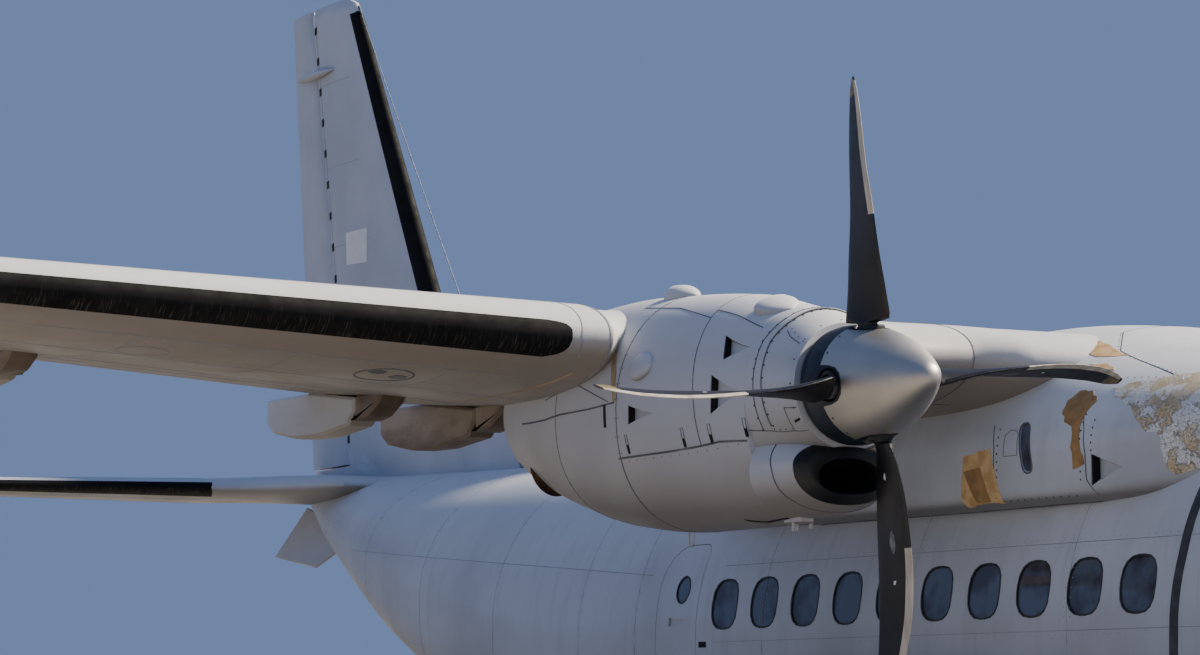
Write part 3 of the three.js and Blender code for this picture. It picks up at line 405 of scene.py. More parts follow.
class Stock:
    """Points and faces gathered for one piece, each face with the number of its material."""

    def __init__(self):
        self.points = []
        self.faces = []
        self.numbers = []

    def face(self, corners, number=0):
        self.faces.append(tuple(corners))
        self.numbers.append(number)

    def rings(self, rings, number=0, hollow=False):
        """A skin through rings of points with its ends closed; hollow joins the last ring to the first."""
        base, count = len(self.points), len(rings[0])
        for ring in rings:
            self.points.extend(Vector(p) for p in ring)
        for i in range(len(rings) if hollow else len(rings) - 1):
            a = base + i * count
            b = base + ((i + 1) % len(rings)) * count
            for k in range(count):
                n = (k + 1) % count
                self.face((a + k, a + n, b + n, b + k), number)
        if not hollow:
            end = base + (len(rings) - 1) * count
            self.face(range(base, base + count), number)
            self.face(reversed(range(end, end + count)), number)
        return self

    def turned(self, profile, start, axis, sides=48, number=0, hollow=False):
        """A profile of (radius, distance along the axis) turned about an axis from start."""
        axis = Vector(axis).normalized()
        across = axis.orthogonal().normalized()
        other = axis.cross(across)
        rings = []
        for radius, along in profile:
            middle = Vector(start) + axis * along
            rings.append([middle + (across * math.cos(a) + other * math.sin(a)) * radius for a in turns(sides)])
        return self.rings(rings, number, hollow)

    def bar(self, start, end, radius, end_radius=None, sides=24):
        span = Vector(end) - Vector(start)
        return self.turned([(radius, 0), (end_radius or radius, span.length)], start, span, sides)

    def block(self, low, high, edge=0.0):
        """A block with its upright and level edges bevelled by edge."""
        (x0, y0, z0), (x1, y1, z1) = low, high

        def ring(z, inset):
            a, b, c, d = x0 + inset, x1 - inset, y0 + inset, y1 - inset
            if not edge:
                return [(a, c, z), (b, c, z), (b, d, z), (a, d, z)]
            cut = [(a + edge, c), (b - edge, c), (b, c + edge), (b, d - edge)]
            cut += [(b - edge, d), (a + edge, d), (a, d - edge), (a, c + edge)]
            return [(x, y, z) for x, y in cut]

        if not edge:
            return self.rings([ring(z0, 0), ring(z1, 0)])
        return self.rings([ring(z0, edge), ring(z0 + edge, 0), ring(z1 - edge, 0), ring(z1, edge)])

    def patch(self, surface, outline, lift=0.003, depth=0.005, spacing=0.06):
        """A thin plate that follows a surface inside an outline in the surface's own two measures."""
        loop = resampled(outline, spacing, surface)
        lows = [min(p[i] for p in loop) for i in (0, 1)]
        sizes = [max(p[i] for p in loop) - lows[i] for i in (0, 1)]
        cells = []
        for i in (0, 1):
            ends = [[low + size / 2 for low, size in zip(lows, sizes)] for _ in (0, 1)]
            ends[0][i] -= sizes[i] / 20
            ends[1][i] += sizes[i] / 20
            cells.append(spacing * sizes[i] / 10 / math.dist(surface(*ends[0]), surface(*ends[1])))
        inner = []
        for i in range(1, int(sizes[0] / cells[0]) + 1):
            for j in range(1, int(sizes[1] / cells[1]) + 1):
                p = (lows[0] + i * cells[0], lows[1] + j * cells[1])
                if inside(p, loop):
                    if all(math.hypot((p[0] - q[0]) / cells[0], (p[1] - q[1]) / cells[1]) > 0.4 for q in loop):
                        inner.append(p)
        flat = [Vector((u / cells[0], v / cells[1])) for u, v in loop + inner]
        corners, _, faces = delaunay_2d_cdt(flat, [], [list(range(len(loop)))], 1, 1e-5)[:3]
        base, count = len(self.points), len(corners)
        for height in (lift, lift - depth):
            self.points += [surface(u * cells[0], v * cells[1], height) for u, v in corners]
        edges = set()
        for face in faces:
            self.face([base + i for i in face])
            self.face([base + count + i for i in reversed(face)])
            edges.update(zip(face, face[1:] + face[:1]))
        for a, b in sorted(edges):
            if (b, a) not in edges:
                self.face((base + b, base + a, base + count + a, base + count + b))
        return self

    def strip(self, surface, path, width=None, lift=0.0015, depth=0.002, closed=False, step=0.06):
        """A flat strip along a path on a surface, as wide as a skin joint unless told otherwise."""
        line = resampled(path, step, surface, closed)
        places = [surface(u, v, lift) for u, v in line]
        half = (width or chosen().seam_width) / 2
        rings = []
        for i, (u, v) in enumerate(line):
            before = places[i - 1] if i or closed else places[0]
            after = places[(i + 1) % len(places)] if i + 1 < len(places) or closed else places[-1]
            out = (surface(u, v, lift + 0.01) - places[i]).normalized()
            across = (after - before).cross(out).normalized() * half
            down = out * depth
            top = [places[i] + across, places[i] - across]
            rings.append(top + [top[1] - down, top[0] - down])
        return self.rings(rings, hollow=closed)

    def sleeve(self, surface, rows, lift=0.003, depth=0.006, count=16):
        """A thin skin round an edge, from rows of a place along it and the ends of the arc there."""
        rings = []
        for u, low, high in rows:
            arc = spans(low, high, (high - low) / count)
            rings.append([surface(u, v, lift) for v in arc] + [surface(u, v, lift - depth) for v in reversed(arc)])
        return self.rings(rings)

    def rivets(self, surface, path, pitch, radius=None, height=0.0012):
        """A row of low rivet heads along a path on a surface."""
        wide = radius or chosen().rivet_radius
        for u, v in resampled(path, pitch, surface, False):
            foot = surface(u, v, 0.0)
            out = (surface(u, v, 0.01) - foot).normalized()
            self.turned([(wide, -0.001), (wide * 0.9, height * 0.6), (wide * 0.4, height)], foot, out, 8)
        return self

    def moved(self, matrix, since=0):
        for i in range(since, len(self.points)):
            self.points[i] = matrix @ self.points[i]
        return self

    def on(self, side):
        """Mirrors what was gathered when it is for the left side."""
        return self.moved(Matrix.Diagonal((1, -1, 1, 1))) if side == "left" else self

    def piece(self, name, *names):
        """The gathered shape as an object, its faces turned outwards."""
        mesh = bpy.data.meshes.new(name)
        mesh.from_pydata(self.points, [], self.faces)
        mesh.polygons.foreach_set("material_index", self.numbers)
        form = bmesh.new()
        form.from_mesh(mesh)
        bmesh.ops.recalc_face_normals(form, faces=form.faces)
        form.to_mesh(mesh)
        form.free()
        for finish_name in names:
            mesh.materials.append(finish(finish_name))
        made = bpy.data.objects.new(name, mesh)
        bpy.context.scene.collection.objects.link(made)
        return made

    def fitted(self, name, *names, slot="paint", body="airframe", replaced=()):
        return fit(self.piece(name, *names), slot, body, replaced)


def paired(draw):
    """What draw makes for the right side, and its mirror image."""
    stock = Stock()
    draw(stock)
    count = len(stock.points)
    stock.points += [Vector((p.x, -p.y, p.z)) for p in stock.points]
    stock.faces += [tuple(i + count for i in reversed(face)) for face in stock.faces]
    stock.numbers += stock.numbers
    return stock


def fit_pairs(rows, **settings):
    """Makes a piece from each row's drawing, name and finish, for both sides at once."""
    for draw, name, material in rows:
        paired(draw).fitted(name, material, **settings)


def spindle(places, y, z, sides):
    """A rod along X from rows of x and radius round a line at y and z."""
    rings = [[(x, y + math.cos(a) * size, z + math.sin(a) * size) for a in turns(sides)] for x, size in places]
    return Stock().rings(rings)


def prism(outline, low_y, high_y):
    """A solid with an outline in x and z between two y values."""
    return Stock().rings([[(x, y, z) for x, z in outline] for y in (low_y, high_y)])


def carve(piece, stock, operation="DIFFERENCE"):
    """Cuts a piece with a gathered shape, whose face numbers choose among the piece's finishes."""
    tool = stock.piece("tool")
    for material in piece.data.materials:
        tool.data.materials.append(material)
    cut = piece.modifiers.new("cut", "BOOLEAN")
    cut.operation, cut.object, cut.solver = operation, tool, "EXACT"
    shown = bpy.context.evaluated_depsgraph_get()
    mesh = bpy.data.meshes.new_from_object(piece.evaluated_get(shown))
    piece.modifiers.clear()
    old = piece.data
    piece.data = mesh
    bpy.data.meshes.remove(old)
    bpy.data.objects.remove(tool)
    return piece


def fit(piece, slot="paint", body="airframe", replaced=()):
    """Shades a piece, hangs it on its body and hides the imported parts that it replaces."""
    piece.data.name = piece.name
    for polygon in piece.data.polygons:
        polygon.use_smooth = True
    piece.data.set_sharp_from_angle(angle=CREASE_ANGLE)
    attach(piece, body)
    if replaced:
        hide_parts(*replaced)
    return piece


# Finishes


def linear(code):
    """An sRGB hex value as the linear colour that the shaders use."""
    parts = [int(code[i : i + 2], 16) / 255 for i in (0, 2, 4)]
    return tuple(p / 12.92 if p <= 0.04045 else ((p + 0.055) / 1.055) ** 2.4 for p in parts) + (1.0,)


def colour_of(code):
    """The user's colour of that name, or else the colour of an sRGB hex value."""
    colours = bpy.context.scene.transport_colours
    return tuple(getattr(colours, code)) if hasattr(colours, code) else linear(code)


def add(tree, kind, inputs=None, **settings):
    """Adds a node with its settings and links."""
    made = tree.nodes.new("ShaderNode" + kind)
    for name, value in settings.items():
        setattr(made, name, value)
    for name, value in (inputs or {}).items():
        if isinstance(value, bpy.types.NodeSocket):
            tree.links.new(value, made.inputs[name])
        else:
            made.inputs[name].default_value = value
    return made


def shader(name, colour, roughness, metallic=0.0, **sockets):
    """A new material with its plain values set on the shader's own sockets."""
    material = bpy.data.materials.new(name)
    material.use_nodes = True
    surface = material.node_tree.nodes["Principled BSDF"]
    values = {"Base Color": colour, "Roughness": roughness, "Metallic": metallic}
    values.update({key.replace("_", " "): value for key, value in sockets.items()})
    for socket, value in values.items():
        surface.inputs[socket].default_value = value
    material.diffuse_color = colour
    return material, material.node_tree, surface


def mottled(tree, colour, other, size_mm, low, high, stretch=(1, 1, 1), detail=5.0, amount=1.0):
    """Blends a second colour in, in patches of about size_mm drawn out along the short axis of stretch."""
    place = add(tree, "TexCoord")
    scaled = add(tree, "Mapping", {"Vector": place.outputs["Object"], "Scale": stretch})
    patches = add(tree, "TexNoise", {"Vector": scaled.outputs[0], "Scale": 1000 / size_mm, "Detail": detail})
    limits = {"From Min": low, "From Max": high, "To Max": amount}
    share = add(tree, "MapRange", {"Value": patches.outputs[0], **limits})
    return add(tree, "Mix", {0: share.outputs[0], 6: colour, 7: other}, data_type="RGBA").outputs[2]


def facing(tree, colour, other, low, high, amount=1.0):
    """Blends a second colour in where the surface looks up (low below high) or down (low above high)."""
    place = add(tree, "TexCoord")
    parts = add(tree, "SeparateXYZ", {0: place.outputs["Normal"]})
    limits = {"From Min": low, "From Max": high, "To Max": amount}
    share = add(tree, "MapRange", {"Value": parts.outputs[2], **limits})
    return add(tree, "Mix", {0: share.outputs[0], 6: colour, 7: other}, data_type="RGBA").outputs[2]


def uneven(tree, surface, size_mm, depth_mm, stretch=(1, 1, 1), under=None):
    """Raises and lowers the shading normal in waves of about size_mm."""
    place = add(tree, "TexCoord")
    scaled = add(tree, "Mapping", {"Vector": place.outputs["Object"], "Scale": stretch})
    waves = add(tree, "TexNoise", {"Vector": scaled.outputs[0], "Scale": 1000 / size_mm, "Detail": 3.0})
    inputs = {"Height": waves.outputs[0], "Distance": depth_mm / 1000}
    if under:
        inputs["Normal"] = under
    bump = add(tree, "Bump", inputs)
    tree.links.new(bump.outputs[0], surface.inputs["Normal"])
    return bump.outputs[0]


def rough_patches(tree, surface, size_mm, low, high):
    """Lets the roughness wander between two values."""
    place = add(tree, "TexCoord")
    patches = add(tree, "TexNoise", {"Vector": place.outputs["Object"], "Scale": 1000 / size_mm, "Detail": 6.0})
    limits = {"From Min": 0.3, "From Max": 0.7, "To Min": low, "To Max": high}
    share = add(tree, "MapRange", {"Value": patches.outputs[0], **limits})
    tree.links.new(share.outputs[0], surface.inputs["Roughness"])


# name: base, dirt, top colour (chalking and painted sunlight), underside colour (dirt and painted shade), streak
# stretch
SKIN_PAINTS = {
    # streaks run down the fuselage's sides
    "fuselage_polyurethane_sprayed": ("fuselage", "a6abb4", "e0e1e2", "6a6763", (3.0, 1.5, 0.35)),
    # streaks run along the chord, and the underside is browner and darker with exhaust, dust and painted shade
    "wing_polyurethane_sprayed": ("wings", "aeaba5", "dcdcd9", "7d7264", (0.5, 3.0, 3.0)),
    # streaks run back over the cowls, and their bellies are darker with oil mist and painted shade
    "nacelle_polyurethane_sprayed": ("nacelles", "b4b6b9", "e4e4e2", "6f6a65", (0.7, 2.0, 2.0)),
    # streaks run down the fin, and the undersides are darker with dust and painted shade
    "tail_polyurethane_sprayed": ("tail", "aab0ba", "d6d8d9", "6f6a64", (0.9, 2.0, 0.5)),
}


def skin_paint(name):
    """Aircraft polyurethane sprayed on riveted sheet: dull with age, streaked with rain and dust, lighter on top
    with chalking and painted sunlight, darker underneath with dirt and painted shade.
    """
    base, dirt, sunlit_top, shaded_belly, stretch = SKIN_PAINTS[name]
    material, tree, surface = shader(name, colour_of(base), 0.5, IOR=1.5)
    colour = mottled(tree, colour_of(base), linear(dirt), 900, 0.42, 0.66, amount=0.7)
    colour = mottled(tree, colour, linear(dirt), 260, 0.5, 0.8, stretch, amount=0.6)
    # painted sunlight: faces that look up turn towards the near-white top colour, with some chalking of the paint
    colour = facing(tree, colour, linear(sunlit_top), 0.35, 0.95, 0.75)
    # painted shade: faces that look down turn towards the dark underside colour, partly dirt
    colour = facing(tree, colour, linear(shaded_belly), 0.1, -0.8, 0.85)
    tree.links.new(colour, surface.inputs["Base Color"])
    rough_patches(tree, surface, 400, 0.42, 0.6)
    # sheet metal dishes a little between its frames, about half a metre apart
    sheet = uneven(tree, surface, 520, 4.0)
    uneven(tree, surface, 90, 0.2, stretch, sheet)
    return material


ROUND = (1, 1, 1)
# name: base, patches, size of the patches in mm, where they begin and end, roughness from and to,
# metallic, waves of the surface in mm, their depth in mm, how the patches are squeezed along each axis
FINISHES = {
    # opaque acrylic pane: its grey-blue colour paints the shaded cabin seen through the glass, with darker patches;
    # shiny enough to mirror the sky
    "cabin_window_acrylic_cast": ("glass", "37343e", 300, 0.45, 0.6, 0.04, 0.14, 0.0, 260, 0.5, ROUND),
    # laminated glass, opaque: its dark colour paints the shaded cockpit seen through it
    "windscreen_glass_laminated": ("1a2026", "232b33", 500, 0.4, 0.7, 0.03, 0.08, 0.0, 400, 0.3, ROUND),
    # black moulded rubber gone grey at its edges
    "window_seal_rubber_moulded": ("1d1e22", "3a3b40", 60, 0.45, 0.7, 0.55, 0.8, 0.0, 12, 0.3, ROUND),
    # glass epoxy blade under matt charcoal polyurethane, scuffed by grit
    "blade_composite_painted": ("blades", "191a20", 180, 0.5, 0.75, 0.42, 0.58, 0.0, 45, 0.15, (1, 1, 0.4)),
    # tan erosion film rubbed by sand along the leading edge
    "blade_edge_urethane_taped": ("cfc6b4", "a3988a", 60, 0.4, 0.7, 0.35, 0.55, 0.0, 8, 0.08, (1, 1, 0.2)),
    # heating boot on the inner leading edge, black and glossier than the paint
    "blade_boot_neoprene_bonded": ("08080a", "131419", 60, 0.4, 0.7, 0.22, 0.38, 0.0, 20, 0.1, (1, 1, 0.3)),
    # bare olive primer where the tip's paint has gone
    "blade_tip_primer_worn": ("8a7850", "5e5441", 35, 0.4, 0.65, 0.5, 0.7, 0.0, 10, 0.1, ROUND),
    # dark blue anodised rim behind the bare part of the spinner
    "spinner_rim_aluminium_anodised": ("101b2b", "1a2432", 90, 0.4, 0.7, 0.4, 0.55, 0.2, 30, 0.1, ROUND),
    # stainless sheet browned and blued by heat
    "exhaust_steel_heat_stained": ("5d3f2a", "2c211b", 90, 0.35, 0.65, 0.45, 0.75, 0.8, 40, 0.6, (0.5, 1, 1)),
    # thick black moulded lip of the air intake, dusty on its top
    "intake_lip_rubber_moulded": ("08090c", "13161c", 160, 0.45, 0.7, 0.4, 0.55, 0.0, 60, 0.3, ROUND),
    # near-black painted shade inside openings, ducts, slots, gaps and recesses
    "opening_aluminium_sooted": ("060607", "100f0f", 90, 0.4, 0.7, 0.8, 0.95, 0.0, 30, 0.5, ROUND),
    # sealant drawn into the skin joints, grey with dirt
    "seam_sealant_smeared": ("4d5058", "686b72", 140, 0.45, 0.65, 0.6, 0.8, 0.0, 20, 0.2, ROUND),
    # fine joints of the fuselage under its last coat of paint
    "seam_paint_bridged": ("7d828c", "92969f", 140, 0.45, 0.65, 0.55, 0.7, 0.0, 20, 0.2, ROUND),
    # fresh sealant, beige and matt
    "seam_sealant_beige": ("b09a78", "8d7a5c", 90, 0.4, 0.7, 0.6, 0.8, 0.0, 25, 0.4, ROUND),
    # steel screw and rivet heads, dull and grimy
    "screw_steel_plated": ("2f3137", "4b4d52", 40, 0.4, 0.7, 0.45, 0.65, 0.4, 8, 0.1, ROUND),
    # rivet heads under the same paint as the skin, edged with dirt
    "rivet_aluminium_painted": ("8b9099", "a3a7ae", 200, 0.4, 0.6, 0.5, 0.65, 0.0, 20, 0.1, ROUND),
    # epoxy primer laid bare where the top coat has come off
    "primer_epoxy_bare": ("cfae7e", "b8935f", 90, 0.42, 0.6, 0.6, 0.8, 0.0, 30, 0.4, ROUND),
    # filler and primer stained brown by rain
    "primer_epoxy_stained": ("a07c4c", "86683f", 70, 0.4, 0.65, 0.6, 0.8, 0.0, 30, 0.4, ROUND),
    # newer coat, lighter than the old paint round it
    "patch_polyurethane_fresh": ("e6e6e4", "d8d9da", 200, 0.4, 0.7, 0.4, 0.5, 0.0, 90, 0.2, ROUND),
    # plain dark band painted on the skin
    "stripe_enamel_brushed": ("stripe", "3c424d", 90, 0.5, 0.7, 0.45, 0.6, 0.0, 30, 0.1, ROUND),
    # grey enamel on forged steel, greasy in the corners
    "gear_steel_enamelled": ("a9adb2", "6d6a66", 80, 0.5, 0.72, 0.35, 0.55, 0.1, 30, 0.3, ROUND),
    # hard chrome on the sliding tubes
    "strut_chrome_plated": ("d5d8dc", "b9bdc3", 50, 0.4, 0.7, 0.08, 0.18, 1.0, 60, 0.02, ROUND),
    # cast magnesium wheel under light paint, brake dust in its hollows
    "wheel_magnesium_cast": ("aeb1b3", "5f5b57", 60, 0.45, 0.7, 0.4, 0.6, 0.15, 25, 0.3, ROUND),
    # vulcanised rubber, grey with dust on the shoulders
    "tyre_rubber_vulcanised": ("tyres", "3a3835", 90, 0.45, 0.7, 0.75, 0.92, 0.0, 14, 0.3, ROUND),
    # steel brake discs and axle nuts, oily
    "brake_steel_machined": ("6a6764", "3f3b38", 50, 0.4, 0.65, 0.3, 0.5, 0.9, 12, 0.1, ROUND),
    # bare nickel probe tubes, heat-tinted and bright
    "probe_nickel_drawn": ("b3ada2", "8f897f", 60, 0.4, 0.7, 0.28, 0.45, 1.0, 8, 0.05, ROUND),
    # flexible brake hoses, black braid
    "hose_rubber_braided": ("1c1d1f", "2d2e30", 12, 0.4, 0.6, 0.6, 0.75, 0.0, 5, 0.3, (1, 1, 0.3)),
    # zinc chromate on the inside of wells and bays
    "bay_aluminium_primed": ("8f946a", "6b6d52", 200, 0.4, 0.65, 0.55, 0.75, 0.0, 120, 1.0, ROUND),
    # padded cabin lining in pale grey cloth
    "lining_cloth_quilted": ("b4b6b3", "9b9d9b", 160, 0.4, 0.65, 0.8, 0.95, 0.0, 90, 8.0, ROUND),
    # freight floor of bare rolled aluminium, scuffed dull
    "floor_aluminium_rolled": ("9a9c9e", "737476", 120, 0.4, 0.65, 0.35, 0.6, 0.9, 40, 0.4, (0.3, 1, 1)),
    # red, green and clear lamp glass, smooth and glossy
    "lamp_glass_red": ("a01515", "7a0f0f", 30, 0.4, 0.6, 0.05, 0.12, 0.0, 30, 0.1, ROUND),
    "lamp_glass_green": ("127a3a", "0d5a2a", 30, 0.4, 0.6, 0.05, 0.12, 0.0, 30, 0.1, ROUND),
    "lamp_glass_clear": ("d9dde0", "c5cacd", 30, 0.4, 0.6, 0.05, 0.12, 0.0, 30, 0.1, ROUND),
    # undercoat rubbed bare in the middle of each blade, paler than the charcoal round it
    "blade_polyurethane_rubbed": ("7f8087", "5d5e65", 30, 0.4, 0.6, 0.5, 0.65, 0.0, 10, 0.1, ROUND),
    # drawn steel wire, too thin to show more than its shine
    "aerial_steel_drawn": ("8e9092", "707274", 20, 0.4, 0.6, 0.3, 0.45, 0.9, 5, 0.05, ROUND),
    # pale trowelled concrete under the aircraft
    "floor_concrete_trowelled": ("aeaaa2", "a39e96", 1400, 0.35, 0.65, 0.7, 0.85, 0.0, 300, 1.0, ROUND),
}
GLASS = ("acrylic", "glass")


def plain_finish(name):
    """A material from one row of the table of finishes."""
    base, patches, size, low, high, smooth, dull, metallic, waves, depth, squeeze = FINISHES[name]
    sockets = {} if metallic > 0.5 else {"IOR": 1.49 if any(word in name for word in GLASS) else 1.5}
    material, tree, surface = shader(name, colour_of(base), (smooth + dull) / 2, metallic, **sockets)
    colour = mottled(tree, colour_of(base), linear(patches), size, low, high, squeeze)
    tree.links.new(colour, surface.inputs["Base Color"])
    rough_patches(tree, surface, size * 0.7, smooth, dull)
    uneven(tree, surface, waves, depth, squeeze)
    return material


def boot_rubber(name):
    """Neoprene bonded over the leading edge: black, rubbed chalky in streaks that run down off the nose."""
    material, tree, surface = shader(name, linear("0c0d0f"), 0.7, IOR=1.5, Specular_IOR_Level=0.2)
    colour = mottled(tree, linear("08090b"), linear("141517"), 260, 0.45, 0.7)
    chalk = mottled(tree, colour, linear("5c564c"), 26, 0.56, 0.8, (0.25, 3.2, 0.25), 8.0)
    lower = facing(tree, colour, chalk, 0.1, -0.75)
    tree.links.new(lower, surface.inputs["Base Color"])
    rough_patches(tree, surface, 90, 0.65, 0.85)
    # the inflating tubes stand out as shallow ridges along the span
    uneven(tree, surface, 60, 1.2, (1.0, 0.12, 1.0))
    return material


def spun_aluminium(name):
    """Bare aluminium spun over a former: satin, with turning marks round it and faint oxide clouds."""
    material, tree, surface = shader(name, linear("c2bfba"), 0.5, 1.0)
    colour = mottled(tree, linear("c4c1bc"), linear("b2afaa"), 420, 0.4, 0.7)
    tree.links.new(colour, surface.inputs["Base Color"])
    rough_patches(tree, surface, 300, 0.46, 0.54)
    # turning marks are 0.3 mm apart; they are drawn 6 mm apart, as fine as the picture can show
    uneven(tree, surface, 6, 0.015, (1.0, 0.02, 0.02))
    return material


def peeling_paint(name):
    """Old polyurethane lifting in flakes: off-white scales, tan primer between them and dark curled edges."""
    material, tree, surface = shader(name, linear("dad6cd"), 0.6, IOR=1.5)
    place = add(tree, "TexCoord")
    bent = add(tree, "TexNoise", {"Vector": place.outputs["Object"], "Scale": 9.0, "Detail": 6.0})
    shifted = add(tree, "VectorMath", {0: place.outputs["Object"], 1: bent.outputs["Color"]}, operation="ADD")
    # the scales are about 70 mm across
    scales = add(tree, "TexVoronoi", {"Vector": shifted.outputs[0], "Scale": 14.0}, feature="DISTANCE_TO_EDGE")
    rims = add(tree, "MapRange", {"Value": scales.outputs[0], "From Min": 0.0, "From Max": 0.035})
    worn_away = {"Vector": place.outputs["Object"], "Scale": 6.5, "Detail": 9.0, "Roughness": 0.7}
    lost = add(tree, "TexNoise", worn_away)
    bare = add(tree, "MapRange", {"Value": lost.outputs[0], "From Min": 0.5, "From Max": 0.54})
    worn = mottled(tree, linear("c9b48c"), linear("d8cdb4"), 150, 0.4, 0.6)
    colour = add(tree, "Mix", {0: bare.outputs[0], 6: linear("e4e4e1"), 7: worn}, data_type="RGBA")
    mixed = {0: rims.outputs[0], 6: linear("8a8176"), 7: colour.outputs[2]}
    edged = add(tree, "Mix", mixed, data_type="RGBA")
    tree.links.new(edged.outputs[2], surface.inputs["Base Color"])
    rise = add(tree, "Math", {0: rims.outputs[0], 1: bare.outputs[0]}, operation="SUBTRACT")
    bump = add(tree, "Bump", {"Height": rise.outputs[0], "Distance": 0.006})
    tree.links.new(bump.outputs[0], surface.inputs["Normal"])
    return material


def sooted_and_shaded_paint(name):
    """Paint of the hinge fairings under the wings, some behind the exhausts: brown soot in patches drawn out fore
    and aft, darker low down with soot and painted shade from the wing above.
    """
    material, tree, surface = shader(name, linear("8a7a69"), 0.6, IOR=1.5)
    colour = mottled(tree, linear("978a7b"), linear("5a4a3b"), 240, 0.4, 0.65, (0.4, 1, 1))
    # darker on faces that look down: soot, and painted shade under the wing
    colour = facing(tree, colour, linear("4a3a2d"), 0.3, -0.9, 0.75)
    tree.links.new(colour, surface.inputs["Base Color"])
    rough_patches(tree, surface, 120, 0.5, 0.75)
    uneven(tree, surface, 90, 0.5)
    return material


OWN_FINISHES = {
    "deicer_boot_neoprene_bonded": boot_rubber,
    "spinner_aluminium_spun": spun_aluminium,
    "paint_polyurethane_peeling": peeling_paint,
    "paint_polyurethane_sooted": sooted_and_shaded_paint,
}


def finish(name):
    """The material of a name, made on its first use."""
    if name in bpy.data.materials:
        return bpy.data.materials[name]
    if name in SKIN_PAINTS:
        return skin_paint(name)
    return OWN_FINISHES.get(name, plain_finish)(name)


FUSELAGE_PAINT = "fuselage_polyurethane_sprayed"
WING_PAINT = "wing_polyurethane_sprayed"
NACELLE_PAINT = "nacelle_polyurethane_sprayed"
TAIL_PAINT = "tail_polyurethane_sprayed"
SOOT_AND_SHADE = "paint_polyurethane_sooted"
SEAM = "seam_sealant_smeared"
FAINT_SEAM = "seam_paint_bridged"
SCREW = "screw_steel_plated"
RIVET = "rivet_aluminium_painted"
SHADE_BLACK = "opening_aluminium_sooted"
SEAL = "window_seal_rubber_moulded"
FRESH = "patch_polyurethane_fresh"
BEIGE_SEALANT = "seam_sealant_beige"
WINDOW_ACRYLIC = "cabin_window_acrylic_cast"
FLOOR_METAL = "floor_aluminium_rolled"
BAY_PRIMER = "bay_aluminium_primed"
BRAKE_STEEL = "brake_steel_machined"
CHROME = "strut_chrome_plated"
GEAR_ENAMEL = "gear_steel_enamelled"
BOOT_RUBBER = "deicer_boot_neoprene_bonded"
RIM = "spinner_rim_aluminium_anodised"


# Fuselage

RAMP = {"front": -2.56, "rear": -5.395, "halves": (1.17, 1.17), "tops": (1.215, 1.99), "leans": (0.0, 0.39)}
REAR_DOOR = {"front": -5.41, "rear": -7.64, "halves": (1.04, 0.64), "tops": (1.995, 2.84), "leans": (0.39, 0.0)}
# outlines of the right-hand openings in x and height; the door's upper corners have a radius each
SIDE_DOOR = {"low": (-1.045, 1.222), "high": (-0.485, 2.745), "front": 0.07, "rear": 0.27}
DOOR_WINDOW = (-0.713, 2.434, 0.09, 0.093)
DOOR_HANDLE = [(-0.87, 2.182), (-0.654, 2.214), (-0.654, 2.226), (-0.87, 2.245)]
WINDOW_FIRST_X, WINDOW_PITCH, WINDOW_Z = -0.11, 0.5216, 2.32
NOSE_BAY = [(8.38, -0.215, 0.0), (9.44, 0.215, 1.52)]
TREAD_SPACES = 10
# the hold's frames: x of the first, distance apart, number, and where their arc begins and how far it steps
FRAME_FIRST_X, FRAME_PITCH, FRAME_COUNT, ARC_START, ARC_STEP = 6.9, 0.5, 19, -32, 6.1
FRAME_SECTION = ((-0.03, 0), (0.03, 0), (0.03, -0.035), (-0.03, -0.035))
TRACKS_Y = (-0.9, -0.45, 0.45, 0.9)
# x and angle from the left, in degrees, of the corners of the right-hand panes
WINDSCREEN_PANES = [
    [(9.5, 92.4), (9.42, 119), (8.98, 124), (8.9, 92.8)],
    [(9.36, 123), (9.07, 142.5), (8.85, 146.5), (8.81, 131), (8.93, 127)],
    [(8.78, 148), (8.38, 154.5), (8.37, 136), (8.75, 133)],
]


def pane_outline(corners, grow=0.0):
    # one degree is 21 mm of the nose's skin
    return rounded(corners, 0.063, grow, 0.021)


def wedge(spec, grow=0.0, rise=0.0):
    """The room of the ramp or the rear door below its sloping top."""
    depth = 0.7
    taper = (spec["halves"][0] - spec["halves"][1]) / (spec["front"] - spec["rear"])
    rings = []
    for x, lean, top in zip((spec["front"] + grow, spec["rear"] - grow), spec["leans"], spec["tops"]):
        foot_x, head_x = x - lean * depth, x + lean * rise
        foot, head = [spec["halves"][0] - taper * (spec["front"] - at) + grow for at in (foot_x, head_x)]
        low, high = top - depth, top + rise
        rings.append([(foot_x, -foot, low), (foot_x, foot, low), (head_x, head, high), (head_x, -head, high)])
    return Stock().rings(rings)


def hull_part(high, low, spacing=0.12):
    return Stock().rings(hull.rings(high, low, spacing))


def bay_room():
    """The room of the cabin and the hold, level at the floor."""
    rings = [
        [(p.x, p.y, max(p.z, FLOOR_Z) if p.x > -2.5 else p.z) for p in ring]
        for ring in bay.rings(7.1, -7.8, 0.6, 40)
    ]
    return Stock().rings(rings, 1)


def side_door_outline(grow=0.0):
    (low_x, low_z), (high_x, high_z) = SIDE_DOOR["low"], SIDE_DOOR["high"]
    outline = [(low_x - grow, low_z - grow), (high_x + grow, low_z - grow)]
    for radius, middle, start in (
        (SIDE_DOOR["front"], high_x - SIDE_DOOR["front"], 0),
        (SIDE_DOOR["rear"], low_x + SIDE_DOOR["rear"], 6),
    ):
        for i in range(7):
            a, reach = math.pi / 12 * (start + i), radius + grow
            outline.append((middle + reach * math.cos(a), high_z - radius + reach * math.sin(a)))
    return outline


def window_outlines(grow):
    """Outlines of the cabin windows in the right-hand wall."""
    size = chosen()
    corners = size.window_width + grow, size.window_height + grow
    places = [WINDOW_FIRST_X + WINDOW_PITCH * k for k in range(size.window_count)]
    return [rounded(box(x, WINDOW_Z, *corners), 0.145 + grow / 2) for x in places]


